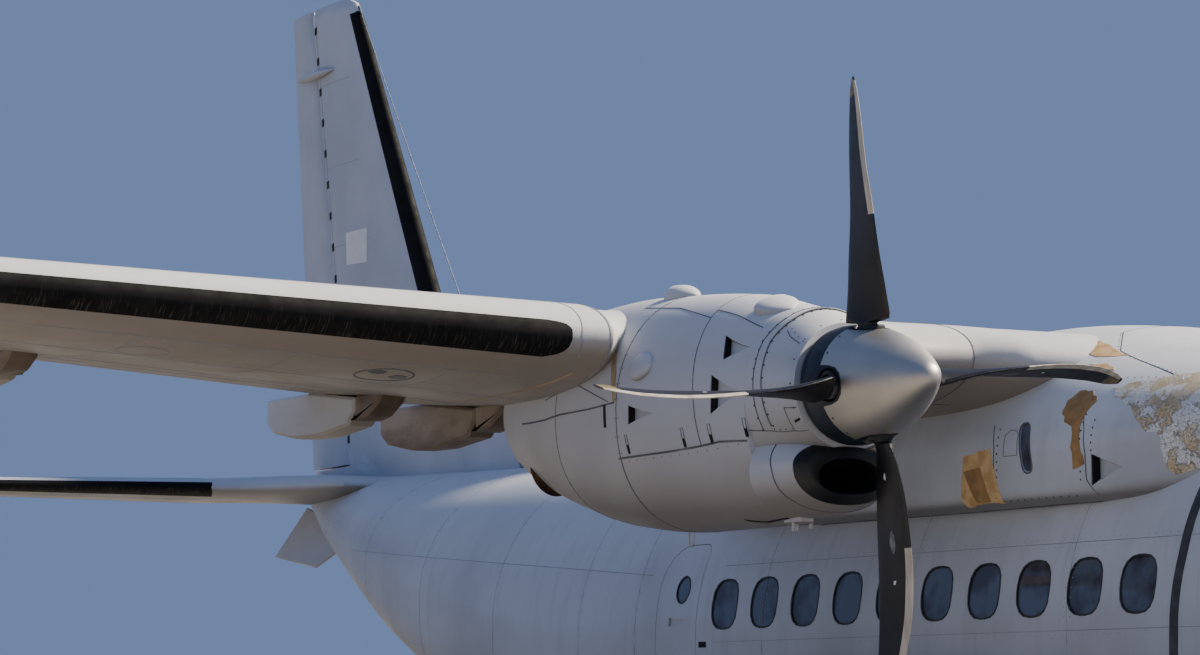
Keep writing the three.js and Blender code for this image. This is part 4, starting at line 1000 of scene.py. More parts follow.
def build_fuselage():
    cabin = hull_part(9.96, -9.95).piece("fuselage_skin", FUSELAGE_PAINT, "lining_cloth_quilted")
    carve(cabin, bay_room())
    for spec in (RAMP, REAR_DOOR):
        carve(cabin, wedge(spec, 0.012, 0.32))
    carve(cabin, Stock().block(*NOSE_BAY))

    def recesses(s):
        for outline in window_outlines(0.0):
            s.patch(hull.flank, outline, 0.03, 0.045)
        for corners in WINDSCREEN_PANES:
            s.patch(hull.skin, pane_outline(corners, 0.012), 0.03, 0.05)

    carve(cabin, paired(recesses))
    door_window = ellipse(*DOOR_WINDOW)
    for side in SIDES:
        door = hull_part(0.5, -1.8).piece(f"side_door_{side}_skin", FUSELAGE_PAINT)
        carve(door, bay_room())
        carve(door, prism(side_door_outline(), -1.6, -1.0).on(side), "INTERSECT")
        carve(door, Stock().patch(hull.flank, door_window, 0.03, 0.045).on(side))
        carve(door, Stock().patch(hull.flank, DOOR_HANDLE, 0.03, 0.05).on(side))
        fit(door, replaced=[f"side_door_{side}"])
        carve(cabin, prism(side_door_outline(0.005), -1.6, -1.0).on(side))
    fit(cabin, replaced=["fuselage_front", "fuselage_centre", "fuselage_rear"])
    hull_part(10.7, 9.9604, 0.05).fitted("radome_shell", FRESH, slot="radome", replaced=["radome"])

    seal = chosen().seal_width

    # the panes are opaque: their colour paints the shaded cabin seen through the glass
    def panes(s):
        for outline in window_outlines(-0.004):
            s.patch(hull.flank, outline, -0.007, 0.007)
        s.patch(hull.flank, ellipse(*DOOR_WINDOW[:2], 0.087, 0.09), -0.006, 0.008)

    def seals(s):
        for outline in window_outlines(-seal / 2):
            s.strip(hull.flank, outline, seal, 0.0015, 0.015, True, 0.03)
        s.strip(hull.flank, door_window, seal, 0.0015, 0.015, True, 0.03)

    # opaque panes whose dark colour paints the shaded cockpit behind the glass
    def screens(s):
        for corners in WINDSCREEN_PANES:
            s.patch(hull.skin, pane_outline(corners, -0.008), -0.008, 0.02)

    def frames(s):
        for corners in WINDSCREEN_PANES:
            s.strip(hull.skin, pane_outline(corners), 0.026, 0.003, 0.018, True, 0.05)

    paired(panes).fitted("cabin_window_panes", WINDOW_ACRYLIC, slot="glazing")
    paired(seals).fitted("cabin_window_seals", SEAL, slot="glazing")
    screen = paired(screens)
    screen.fitted("windscreen_panes", "windscreen_glass_laminated", slot="glazing", replaced=["windscreen"])
    paired(frames).fitted("windscreen_frames", SEAL, slot="glazing")


def build_rear_doors():
    """The loading ramp and the upper door, each with stiffeners on its inner face."""
    for name, spec in (("ramp", RAMP), ("rear_door", REAR_DOOR)):
        body = f"{name}_body"
        panel = hull_part(spec["front"] + 0.3, spec["rear"] - 0.5).piece(f"{name}_skin", FUSELAGE_PAINT)
        carve(panel, wedge(spec), "INTERSECT")
        fit(panel, body=body, replaced=[name])
        treads = Stock()
        for k in range(1, TREAD_SPACES):
            x, z, half = mix(*zip((spec["front"], spec["rear"]), spec["tops"], spec["halves"]), k / TREAD_SPACES)
            half -= 0.1
            treads.block((x - 0.02, -half, z - 0.004), (x + 0.02, half, z + 0.012), 0.004)
        treads.fitted(f"{name}_treads", FLOOR_METAL, body=body)


def build_hold():
    """Frames and floor tracks seen through the open ramp."""
    frames, tracks = Stock(), Stock()
    for k in range(FRAME_COUNT):
        x = FRAME_FIRST_X - FRAME_PITCH * k
        rings = []
        for i in range(41):
            angle = ARC_START + ARC_STEP * i
            ring = [bay.skin(x + dx, angle, lift) for dx, lift in FRAME_SECTION]
            rings.append([(p.x, p.y, max(p.z, FLOOR_Z + 0.002)) for p in ring])
        frames.rings(rings)
    for y in TRACKS_Y:
        tracks.block((-2.4, y - 0.03, FLOOR_Z - 0.01), (6.9, y + 0.03, FLOOR_Z + 0.006), 0.003)
    frames.fitted("hold_frames", BAY_PRIMER)
    tracks.fitted("hold_floor_tracks", FLOOR_METAL)


# Roof fairing

ROOF_INLET = [(4.31, 3.01), (4.05, 3.1), (4.05, 2.91)]
SLIT_WINDOW = [(3.447, 3.32), (3.353, 3.32), (3.423, 3.02), (3.517, 3.02)]
# paths on the fairing's side in x and height
FAIRING_JOINTS = [
    [(3.08, 3.33), (3.12, 3.18), (3.12, 3.05), (3.1, 2.9), (3.14, 2.83)],
    [(3.9, 3.38), (3.97, 3.25), (4.0, 3.1), (4.01, 2.95), (4.11, 2.83)],
]
FAIRING_PLATE = [(3.22, 3.13), (3.22, 3.26), (3.26, 3.285), (3.32, 3.285), (3.35, 3.26), (3.36, 3.13)]
FAIRING_FOOT = [(0.49, 2.822), (1.24, 2.822), (2.7, 2.82), (4.54, 2.827), (5.07, 2.85)]
FAIRING_SCREWS = [
    [(3.15, 3.3), (3.15, 3.05), (3.14, 2.88)],
    [(3.05, 3.16), (3.09, 2.9)],
    [(3.94, 3.34), (3.96, 2.95)],
    [(4.04, 3.3), (4.05, 3.12)],
]
# paths on the fairing's top in x and y
ROOF_JOINTS = [
    [(2.03, -0.75), (2.25, -0.92), (2.4, -1.05), (2.45, -1.15)],
    [(2.34, -0.65), (2.88, -0.89), (3.11, -1.01), (3.25, -1.1)],
    [(3.1, -0.0), (3.21, -0.5), (3.57, -0.79), (3.83, -0.86), (4.48, -1.02)],
    [(1.2, 0.0), (1.2, -1.2)],
    [(0.2, 0.0), (0.2, -1.1)],
    [(4.9, 0.0), (4.9, -0.9)],
]
ROOF_SCREWS = [
    [(2.34, -0.62), (2.88, -0.86), (3.25, -1.07)],
    [(4.02, -1.07), (4.61, -0.99)],
    [(3.21, -0.52), (3.57, -0.81), (4.48, -1.0)],
]
# patches of worn paint: the surface's name, the outline, its step, its roughness and the seed of its edge
BARE_PRIMER = [
    ("flank", [(2.8, 3.15), (3.07, 3.19), (3.2, 2.855), (2.8, 2.845), (2.77, 2.89)], 0.06, 0.008, 3),
    ("deck", [(2.77, -0.64), (3.27, -0.72), (3.7, -0.83), (3.49, -0.92), (3.1, -0.83)], 0.08, 0.01, 5),
    ("deck", [(3.54, -0.99), (3.69, -0.96), (3.82, -1.01), (3.68, -1.03)], 0.05, 0.008, 7),
]
STAIN = [
    (3.69, 3.44), (3.74, 3.5), (3.86, 3.49), (3.96, 3.42), (3.93, 3.35), (3.94, 3.2),
    (3.99, 3.04), (3.89, 3.02), (3.88, 3.15), (3.86, 3.27), (3.77, 3.31), (3.72, 3.36),
]
LOW_STAIN = [(2.8, 3.06), (2.98, 3.08), (3.08, 2.865), (2.93, 2.865)]
# degrees in one unit of the flaked area's second measure
TURN_UNIT = 57.3
# in x and degrees from the left
FLAKED = [
    (4.02, 147.8), (4.25, 143.2), (4.6, 134.6), (5.0, 134.6), (5.35, 149), (5.3, 169), (4.95, 186.2),
    (4.7, 190.2), (4.6, 179.9), (4.45, 171.9), (4.3, 159.3), (4.1, 153.6),
]


def build_roof_fairing():
    shell = Stock().rings(roof_fairing.rings(6.15, -2.1, 0.12)).piece("wing_fairing_skin", FUSELAGE_PAINT)
    flank, deck = roof_fairing.flank, roof_fairing.deck

    def cuts(s):
        s.rings([
            [flank(x, z, 0.02) for x, z in ROOF_INLET],
            [flank(x, z, -0.002 if x > 4.2 else -0.06) for x, z in ROOF_INLET],
        ])
        s.patch(flank, rounded(SLIT_WINDOW, 0.05), 0.02, 0.035)

    carve(shell, paired(cuts))
    fit(shell, "fairing", replaced=["wing_fairing"])

    def seams(s):
        for path in FAIRING_JOINTS:
            s.strip(flank, path, 0.008)
        s.strip(flank, FAIRING_FOOT, 0.012)
        s.strip(flank, FAIRING_PLATE, 0.004, closed=True, step=0.04)
        for path in ROOF_JOINTS:
            s.strip(deck, path, 0.006)
        s.strip(flank, rounded(SLIT_WINDOW, 0.05, 0.004), 0.012, 0.003, closed=True, step=0.04)

    def screws(s):
        for path in FAIRING_SCREWS:
            s.rivets(flank, path, 0.055, 0.007, 0.002)
        s.rivets(flank, [(3.2, 2.86), (3.9, 2.86)], 0.075, 0.006, 0.002)
        for path in ROOF_SCREWS:
            s.rivets(deck, path, 0.06, 0.005, 0.002)

    def primer(s):
        for kind, outline, step, amount, seed in BARE_PRIMER:
            surface = getattr(roof_fairing, kind)
            s.patch(surface, roughened(outline, surface, step, amount, seed), spacing=0.03)

    def stained(s):
        s.patch(flank, roughened(STAIN, flank, 0.05, 0.008, 11), spacing=0.03)
        s.patch(flank, LOW_STAIN, 0.0045, spacing=0.03)

    def flaked(s):
        # the turn is measured in units near a metre, so that the edge wanders alike both ways
        def skin(x, turn, lift=0.0):
            return roof_fairing.skin(x, turn * TURN_UNIT, lift)

        turned = [(x, degrees / TURN_UNIT) for x, degrees in FLAKED]
        s.patch(skin, roughened(turned, skin, 0.06, 0.02, 13), 0.003, 0.006)

    # near-black plates that paint the shade at the back of each inlet
    def throats(s):
        rear = [(x + 0.003, z, lift) for x, z in ROOF_INLET[1:] for lift in (-0.004, -0.055)]
        rear = [flank(*place) for place in (rear[0], rear[2], rear[3], rear[1])]
        s.rings([rear, [p + Vector((0.01, 0, 0)) for p in rear]])

    # opaque panes whose colour paints the shaded inside seen through the glass
    def slit_panes(s):
        s.patch(flank, rounded(SLIT_WINDOW, 0.05, -0.005), -0.008, 0.006)

    fit_pairs((
        (seams, "roof_seams", SEAM),
        (screws, "roof_screws", SCREW),
        (slit_panes, "roof_slit_windows", WINDOW_ACRYLIC),
        (primer, "roof_bare_primer", "primer_epoxy_bare"),
        (stained, "roof_stained_primer", "primer_epoxy_stained"),
        (flaked, "roof_peeling_paint", "paint_polyurethane_peeling"),
        (throats, "roof_inlet_throats", SHADE_BLACK),
    ), slot="fairing")


# Wings

FLAP_INNER_Y, FLAP_OUTER_Y, AILERON_Y = (1.64, 4.06), (4.135, 8.6), (8.72, 12.4)
INNER_FAIRING_Y, OUTER_FAIRINGS_Y = 3.78, (4.62, 7.0)
ROOT_CHORD = 3.0
# the ailerons' hinge line as a share of the chord, the fixed wing's end ahead of it, and the clear gap there
AILERON_CUT, AILERON_SHROUD, NOSE_GAP = 0.77, 0.093, 0.012
# behind the flap's nose (+ is forward) and above the hinge fairing's datum, at the root's chord
FAIRING_FRONT = [
    (0.43, 0.175), (0.015, 0.175), (0.015, 0.03), (-0.06, 0.015), (0.04, 0.008), (0.2, 0.03), (0.36, 0.1),
]
# span and chord share of the middle of the hatch under each wing, and its half sizes
HATCH = (5.18, 0.24, 0.165, 0.07)
HATCH_LATCHES = ((5.25, 0.215), (5.09, 0.245))
FAIRING_REAR = [
    (0, 0.16), (0, 0.075), (-0.095, -0.015), (-0.56, -0.055), (-0.93, -0.05), (-1.3, 0.01), (-1.39, 0.07),
    (-1.39, 0.24), (-0.7, 0.24),
]


def wing_chord(span):
    y = max(span, WING_ROOT_Y)
    return wing.columns[0](y) - wing.columns[1](y)


def flap_nose(span):
    """x and height of the chord line where the flap starts."""
    nose, tail, nose_z, tail_z, _ = [column(max(span, WING_ROOT_Y)) for column in wing.columns]
    return mix((nose, nose_z), (tail, tail_z), CHORD_CUT)


def shrunk(outline, amount):
    """An outline moved inwards by amount."""
    turn = sum(a[0] * b[1] - a[1] * b[0] for a, b in zip(outline, outline[1:] + outline[:1]))
    sign = math.copysign(1, turn)
    made = []
    for before, here, after in zip(outline[-1:] + outline, outline, outline[1:] + outline[:1]):
        edges = [Vector(here) - Vector(before), Vector(after) - Vector(here)]
        n0, n1 = [Vector((-edge.y, edge.x)).normalized() * sign for edge in edges]
        out = n0 + n1
        made.append(tuple(Vector(here) + out * (amount / max(out.dot(n0), 0.35))))
    return made


def hinge_fairing(stock, outline, y, number=0):
    """A slab below the wing that carries a flap hinge, its rim bevelled."""
    nose_x, chord_z = flap_nose(y)
    scale = wing_chord(y) / ROOT_CHORD
    outer = [(nose_x + dx * scale, chord_z + (dz - 0.282) * scale) for dx, dz in outline]
    half, edge = 0.095, 0.018
    inner = shrunk(outer, edge)
    sections = [(inner, -half), (outer, edge - half), (outer, half - edge), (inner, half)]
    return stock.rings([[(x, dy - y, z) for x, z in points] for points, dy in sections], number)


def foil_rings(foil, rows):
    return [foil.ring(span, cut) for span, cut in rows]


def build_wing_centre():
    cut = CHORD_CUT - NOSE_GAP / ROOT_CHORD

    def skin(s):
        rows = [(y, 1.0) for y in (0.0, 1.3, 1.4, 1.48, 1.55, 1.624)] + [(1.625, cut)]
        s.rings(foil_rings(centre_wing, rows + [(span, cut) for span in spans(1.72, 4.0999, 0.1)]))
        # the hinge fairing takes the second finish: soot and painted shade under the wing
        hinge_fairing(s, FAIRING_FRONT, INNER_FAIRING_Y, 1)

    def seams(s):
        s.strip(centre_wing.wrap, [(1.62, 0.42), (1.62, -0.42)], 0.008, step=0.03)
        s.strip(centre_wing.wrap, [(2.85, 0.42), (2.85, -0.42)], 0.006, step=0.03)
        for face in (centre_wing.upper, centre_wing.lower):
            for share in (0.17, 0.62):
                s.strip(face, [(1.5, share), (2.85, share)], 0.006)

    paired(skin).fitted("wing_centre_skin", WING_PAINT, SOOT_AND_SHADE, replaced=["wing_centre"])
    paired(seams).fitted("wing_centre_seams", SEAM)
    for side in SIDES:
        name = f"flap_inner_{side}"
        flap = Stock().rings([centre_wing.rear_ring(span, 0.762, 0.034) for span in spans(*FLAP_INNER_Y, 0.2)])
        # the hinge fairing takes the second finish: soot and painted shade under the wing
        hinge_fairing(flap, FAIRING_REAR, INNER_FAIRING_Y, 1)
        flap.on(side).fitted(
            f"{name}_skin", WING_PAINT, SOOT_AND_SHADE, slot="control_skin", body=f"{name}_body", replaced=[name]
        )


def wing_cut(span):
    """Where the fixed wing ends at a span, as a share of its chord."""
    if FLAP_OUTER_Y[0] - 0.03 < span < FLAP_OUTER_Y[1] + 0.03:
        return CHORD_CUT - NOSE_GAP / wing_chord(span)
    if AILERON_Y[0] - 0.015 < span < AILERON_Y[1] + 0.015:
        return AILERON_CUT - (AILERON_SHROUD + NOSE_GAP) / wing_chord(span)
    return 1.0


def build_wings():
    steps = [FLAP_OUTER_Y[1] + 0.03, AILERON_Y[0] - 0.015, AILERON_Y[1] + 0.015]
    places = sorted(set(
        spans(4.1004, 8.629, 0.25) + [step - 0.0005 for step in steps] + [step + 0.0005 for step in steps]
        + spans(8.72, 12.4, 0.25) + [12.5, 12.65, 12.72, 12.78, 12.82, 12.85, 12.88, 12.905]
    ))
    for side in SIDES:
        stock = Stock().rings(foil_rings(wing, [(span, wing_cut(span)) for span in places]))
        flap = Stock().rings([
            wing.rear_ring(span, CHORD_CUT + 0.034 / wing_chord(span), 0.032) for span in spans(*FLAP_OUTER_Y, 0.25)
        ])
        for y in OUTER_FAIRINGS_Y:
            # the front of each hinge fairing takes the second finish: soot and painted shade under the wing
            hinge_fairing(stock, FAIRING_FRONT, y, 1)
            hinge_fairing(flap, FAIRING_REAR, y)
        stock.on(side).fitted(f"wing_{side}_skin", WING_PAINT, SOOT_AND_SHADE, replaced=[f"wing_{side}"])
        aileron = Stock().rings([
            wing.rear_ring(span, AILERON_CUT, 0.085 - 0.035 * (span - 8.72) / 3.68)
            for span in spans(8.722, 12.398, 0.25)
        ])
        for stock, name in ((flap, f"flap_outer_{side}"), (aileron, f"aileron_{side}")):
            stock.on(side).fitted(
                f"{name}_skin", WING_PAINT, SOOT_AND_SHADE, slot="control_skin", body=f"{name}_body", replaced=[name]
            )

    def boots(s):
        # span, and the measure of how far the boot reaches round the nose below and above
        ends = [(4.35, -0.04, 0.03), (4.36, -0.095, 0.05), (4.38, -0.13, 0.072), (4.42, -0.16, 0.085)]
        middle = [(y, -0.185, 0.095) for y in spans(4.49, 12.3, 0.25)]
        s.sleeve(wing.wrap, ends + middle + [(12.33, -0.05, 0.03)])

    def seams(s):
        s.strip(wing.wrap, [(4.112, 0.6), (4.112, -0.6)], 0.01, step=0.03)
        bend = [(4.25, 0.45), (4.27, 0.2), (4.29, 0.0), (4.27, -0.25), (4.2, -0.45)]
        s.strip(wing.wrap, bend, 0.006, step=0.03)
        for face in (wing.upper, wing.lower):
            for share in (0.13, 0.36, 0.62):
                s.strip(face, [(4.15, share), (12.6, share)], lift=0.0012, step=0.25)
            for span in spans(4.9, 12.3, 0.925):
                s.strip(face, [(span, 0.13), (span, 0.73)], lift=0.0012, step=0.1)
        for span in (6.6, 8.1, 9.6):
            s.strip(wing.lower, ellipse(span, 0.28, 0.15, 0.06), closed=True, step=0.05)

    def rivets(s):
        for share in (0.145, 0.345, 0.375, 0.6, 0.64):
            s.rivets(wing.lower, [(4.2, share), (8.6, share)], 0.07)
        for span in spans(4.6, 8.6, 0.5):
            s.rivets(wing.lower, [(span, 0.15), (span, 0.72)], 0.1)
        for share in (0.145, 0.6):
            s.rivets(wing.upper, [(4.2, share), (8.6, share)], 0.09)

    def hatches(s):
        s.strip(wing.lower, ellipse(*HATCH), 0.013, closed=True, step=0.05)
        for place in HATCH_LATCHES:
            spot = roughened(ellipse(*place, 0.05, 0.02, 12), wing.lower, 0.02, 0.005, 23)
            s.patch(wing.lower, spot, 0.002, 0.003)

    def sealant(s):
        s.strip(wing.lower, [(4.23, 0.08), (4.3, 0.2), (4.33, 0.34), (4.3, 0.5)], 0.02, step=0.04)

    fit_pairs((
        (boots, "wing_deicer_boots", BOOT_RUBBER),
        (seams, "wing_seams", FAINT_SEAM),
        (rivets, "wing_rivets", RIVET),
        (hatches, "wing_hatches", SEAM),
        (sealant, "wing_root_sealant", BEIGE_SEALANT),
    ))


# Nacelles

# x and height of the pointed front, the upper and the lower rear corner of each flush inlet
FLUSH_INLETS = [
    [(4.36, 3.59), (4.12, 3.675), (4.18, 3.53)],
    [(4.37, 3.34), (4.11, 3.45), (4.11, 3.23)],
    [(3.61, 3.27), (3.35, 3.33), (3.345, 3.22)],
]
INLET_DEPTH = 0.042
# width and path of each seam of the cowl, in x and degrees from the left
COWL_SEAMS = [
    (0.007, [(3.212, -19.5), (3.212, 199.5)]),
    (0.012, [(3.212, 199.5), (3.212, 340.5)]),
    (0.006, [(3.0, 118), (3.45, 121), (3.88, 131)]),
    (0.006, [(3.88, 124), (4.1, 127), (4.37, 134)]),
    (0.005, [(2.28, 171), (2.68, 165), (3.11, 176)]),
    (0.005, [(2.45, 166), (2.45, 255)]),
]
# these have a twin on the inboard flank
TWIN_SEAMS = [
    (0.012, [(3.19, 200.5), (3.7, 200.0), (4.16, 198.6), (4.372, 200.5)]),
    (0.006, [(3.86, 90), (3.86, 110), (3.87, 123), (3.92, 147), (3.96, 171), (3.98, 186), (4.01, 199)]),
    (0.01, [(1.9, 182), (2.294, 180.5), (2.515, 179), (2.897, 178.3), (3.19, 176.8)]),
]
CHIN_JOINT = [
    (4.41, 132), (4.5, 140), (4.533, 146), (4.556, 166), (4.585, 185), (4.599, 212), (4.617, 230), (4.62, 270),
]
# on the ring ahead of the cowls
STRAP = [(4.55, 90), (4.53, 122), (4.487, 145), (4.495, 172), (4.51, 189), (4.535, 207)]
RING_SEAMS = [
    [(4.6, 134), (4.66, 139), (4.75, 143)],
    [(4.38, 203), (4.555, 210), (4.7, 217), (4.78, 224)],
    [(4.7, 197), (4.775, 200.5)],
    [(4.7, 197), (4.712, 218)],
]
LATCH_X = (3.31, 3.857, 4.09, 4.367)
# x of the front, length, angle, width and height of each hooded outlet on top
HOODS = [(3.25, 0.22, 97, 0.2, 0.068), (4.41, 0.2, 108, 0.25, 0.045)]
# sections along a hood and points across it
HOOD_STEPS, HOOD_ARC_STEPS = 11, 14
# x, angle, radius and height of the round blister on the cowl, and how far it is drawn out along x
BLISTER = (3.425, 160, 0.088, 0.034)
BLISTER_STRETCH = 1.35
# x, height and radius of the bend of the drain pipe under the cowl
DRAIN = (3.05, 2.575, 0.026)
# x, y and lowest point of each stub under the chin
CHIN_STUBS = ((4.3, -3.56, 2.585), (4.24, -3.5, 2.59), (4.34, -3.47, 2.6))
# corners of a slot in the cowl's belly, in x and degrees from the left
BELLY_SLOT = [(3.99, 251), (4.1, 258.5), (4.29, 259.5), (4.29, 261), (4.1, 261), (4.0, 254)]
# rings of the air intake's lip: x and lift outside and inside, share of the way in and bulge across its front
LIP_OUTSIDE = ((4.735, 0.0005), (4.74, 0.003), (4.76, 0.004), (4.779, 0.004))
LIP_FRONT = ((-0.06, 0.003), (0.15, 0.006), (0.4, 0.008), (0.7, 0.007), (1.03, 0.003))
LIP_INSIDE = ((4.779, -0.003), (4.76, -0.003), (4.7, -0.003), (4.6, -0.001))
EXHAUST_START, EXHAUST_END = (2.7, -3.59, 3.26), (1.78, -3.75, 3.06)
# radius and distance from the mouth of the exhaust pipe's section, after its first ring at the engine
EXHAUST_MOUTH = [(0.165, -0.05), (0.169, -0.03), (0.169, 0), (0.158, 0), (0.151, -0.04), (0.151, -0.5)]


def inboard(path):
    """A path's twin on the other flank of the same nacelle."""
    return [(x, 180 - a) for x, a in path]


def inlet_rings(inlet, front, rear, high, low, spare=0.0):
    """Sections of a flush inlet between two shares of its length: flared sides over a sloping floor."""
    (tip_x, tip_z), (top_x, top_z), (low_x, low_z) = inlet
    rings = []
    for t in spans(front, rear, 0.15):
        flare = t**1.7
        x0, z0 = tip_x + (top_x - tip_x) * t, tip_z + (top_z - tip_z) * (0.5 * (t + flare))
        x1, z1 = tip_x + (low_x - tip_x) * t, tip_z + (low_z - tip_z) * (0.5 * (t + flare))
        down = -(low * t + spare)
        corners = ((x0, z0, high), (x1, z1, high), (x1, z1, down), (x0, z0, down))
        rings.append([nacelle.flank(*corner) for corner in corners])
    return rings


def build_nacelles():
    bore_end = (4.45, -ENGINE_Y, PROPELLER_Z)

    def inlet_cuts(s):
        for inlet in FLUSH_INLETS:
            s.rings(inlet_rings(inlet, 0.02, 1.0, 0.02, INLET_DEPTH))

    # near-black plates that paint the shade at the back of each flush inlet
    def throats(s):
        for inlet in FLUSH_INLETS:
            s.rings(inlet_rings(inlet, 0.965, 1.01, -0.001, INLET_DEPTH, 0.002))

    for side in SIDES:
        cowl = Stock().rings(nacelle.rings(4.3796, 3.2104, 0.07)).on(side).piece(f"cowl_{side}_skin", NACELLE_PAINT)
        cuts = Stock()
        inlet_cuts(cuts)
        fit(carve(cowl, cuts.on(side)), replaced=[f"cowl_{side}"])

        rear = Stock().rings(nacelle.rings(3.2098, 1.12, 0.07)).on(side)
        rear.fitted(f"nacelle_rear_{side}_skin", NACELLE_PAINT, replaced=[f"nacelle_rear_{side}"])

        front = Stock().rings(cowl_ring.rings(4.785, 4.3804, 0.03)).on(side)
        front = front.piece(f"nose_cowl_{side}_skin", NACELLE_PAINT, SHADE_BLACK)
        carve(front, Stock().rings(chin.rings(4.785, 4.3804, 0.03)).on(side), "UNION")
        # the intake's bore and duct take the second finish, near-black painted shade
        bore = Stock().turned([(0.3, 0), (0.3, 0.6)], bore_end, (1, 0, 0), 64, 1)
        carve(front, bore.on(side))
        mouth = Stock().rings(duct.rings(4.8, 4.4, 0.04, 64), 1)
        carve(front, mouth.on(side))
        fit(front, replaced=[f"nose_cowl_{side}"])

    def lips(s):
        outer = [chin.ring(x, 72, lift) for x, lift in LIP_OUTSIDE]
        rim, throat = chin.ring(4.785, 72), duct.ring(4.785, 72)
        fronts = []
        for share, dx in LIP_FRONT:
            fronts.append([a.lerp(b, share) + Vector((dx, 0, 0)) for a, b in zip(rim, throat)])
        inner = [duct.ring(x, 72, lift) for x, lift in LIP_INSIDE]
        s.rings(outer + fronts + inner, hollow=True)

    def seams(s):
        twins = [(width, inboard(path)) for width, path in TWIN_SEAMS]
        for width, path in COWL_SEAMS + TWIN_SEAMS + twins:
            s.strip(nacelle.skin, path, width)
        for path in (CHIN_JOINT, inboard(CHIN_JOINT)):
            s.strip(chin.skin, path, 0.01, step=0.03)
        for path in RING_SEAMS:
            s.strip(cowl_ring.skin, path, 0.005, step=0.04)
        for path in (STRAP, inboard(STRAP)):
            for x in (-0.037, 0.037):
                s.strip(cowl_ring.skin, [(u + x, a) for u, a in path], 0.006, 0.003, step=0.04)

    def straps(s):
        for path in (STRAP, inboard(STRAP)):
            s.strip(cowl_ring.skin, path, 0.07, 0.004, 0.005, step=0.04)

    # near-black painted shade in the latches' gaps and recesses and in the cowl's slots
    def latches(s):
        for x in LATCH_X:
            frame_path = [(x - 0.014, 190), (x + 0.008, 190), (x + 0.024, 198.2), (x + 0.002, 198.2)]
            s.strip(nacelle.skin, frame_path, 0.003, closed=True, step=0.04)
            tongue = [(x - 0.002, 194.5), (x + 0.012, 194.5), (x + 0.022, 198.8), (x + 0.006, 198.8)]
            s.patch(nacelle.skin, tongue, 0.003, 0.004)
        s.patch(nacelle.flank, [(3.067, 3.22), (3.092, 3.22), (3.085, 3.35), (3.06, 3.35)])
        s.patch(nacelle.skin, BELLY_SLOT, 0.003, 0.004)
        s.patch(cowl_ring.skin, box(4.755, 211, 0.032, 2.2), 0.003, 0.004)

    def screws(s):
        for x in (-0.046, 0.046):
            s.rivets(cowl_ring.skin, [(u + x, a) for u, a in STRAP], 0.075, 0.006, 0.003)
        s.rivets(cowl_ring.skin, [(4.76, 95), (4.76, 200)], 0.16, 0.006, 0.002)
        s.rivets(cowl_ring.skin, [(4.62, 131), (4.76, 140)], 0.06, 0.005, 0.002)
        s.rivets(cowl_ring.skin, [(4.58, 209.5), (4.7, 215)], 0.06, 0.005, 0.002)
        for points in ([(3.23, 100), (3.23, 198)], [(3.195, 100), (3.195, 198)], [(3.3, 202.5), (4.3, 201.5)]):
            s.rivets(nacelle.skin, points, 0.09)

    def fittings(s):
        for front_x, length, angle, wide, tall in HOODS:
            rings = []
            for k in range(HOOD_STEPS + 1):
                t = k / HOOD_STEPS
                x = front_x - length * t
                foot = nacelle.skin(x, angle)
                out = (nacelle.skin(x, angle, 0.01) - foot).normalized()
                across = out.cross(Vector((1, 0, 0))).normalized() * wide / 2
                swell = max(0.04, math.sin(min(1.0, t * 1.25 + 0.02) * math.pi / 2)) ** 0.8
                arc = [math.pi * i / HOOD_ARC_STEPS for i in range(HOOD_ARC_STEPS + 1)]
                ring = [foot + across * math.cos(a) * swell + out * (math.sin(a) * tall * swell) for a in arc]
                rings.append(ring + [foot - out * 0.03 - across * swell, foot - out * 0.03 + across * swell])
            s.rings(rings)
        x, angle, radius, tall = BLISTER
        foot = nacelle.skin(x, angle, -0.01)
        out = (nacelle.skin(x, angle, 0.05) - foot).normalized()
        rise = [math.radians(12 * i) for i in range(8)]
        dome = [(radius * math.cos(a), 0.008 + tall * math.sin(a)) for a in rise]
        since = len(s.points)
        s.turned([(radius, 0)] + dome, foot, out, 40)
        stretch = Matrix.Diagonal((BLISTER_STRETCH, 1, 1, 1))
        s.moved(Matrix.Translation(foot) @ stretch @ Matrix.Translation(-foot), since)
        # the bent drain pipe and the small stubs under the chin
        x, z, reach = DRAIN
        bend = [math.pi * (1 + i / 8) for i in range(9)]
        loop = [(x + reach * math.cos(a), z + reach * math.sin(a)) for a in bend]
        path = [(x - reach, 2.66)] + loop + [(x + reach, 2.64)]
        for a, b in zip(path, path[1:]):
            s.bar((a[0], -ENGINE_Y, a[1]), (b[0], -ENGINE_Y, b[1]), 0.0065, sides=12)
        s.block((4.2, -3.57, 2.625), (4.37, -3.47, 2.68), 0.01)
        for x, y, low in CHIN_STUBS:
            s.bar((x, y, 2.68), (x - 0.01, y, low), 0.012, 0.01, 16)

    def stains(s):
        s.patch(nacelle.skin, [(3.02, 146), (3.06, 146), (3.17, 163), (3.205, 176), (3.175, 176.5), (3.12, 165)])

    fit_pairs((
        (lips, "intake_lips", "intake_lip_rubber_moulded"),
        (throats, "cowl_inlet_throats", SHADE_BLACK),
        (seams, "nacelle_seams", SEAM),
        (latches, "cowl_latches", SHADE_BLACK),
        (screws, "nacelle_screws", SCREW),
        (straps, "cowl_straps", NACELLE_PAINT),
        (fittings, "nacelle_fittings", NACELLE_PAINT),
        (stains, "nacelle_stains", BEIGE_SEALANT),
    ))

    start, end = Vector(EXHAUST_START), Vector(EXHAUST_END)
    reach = (end - start).length
    profile = [(0.165, 0.0)] + [(radius, reach + along) for radius, along in EXHAUST_MOUTH]
    for side in SIDES:
        pipe = Stock().turned(profile, start, end - start, 56)
        pipe.turned([(0.173, reach - 0.3), (0.173, reach - 0.26)], start, end - start, 56)
        pipe.on(side).fitted(
            f"exhaust_{side}_pipe", "exhaust_steel_heat_stained", slot="engine_metal", replaced=[f"engine_{side}"]
        )


# Propellers

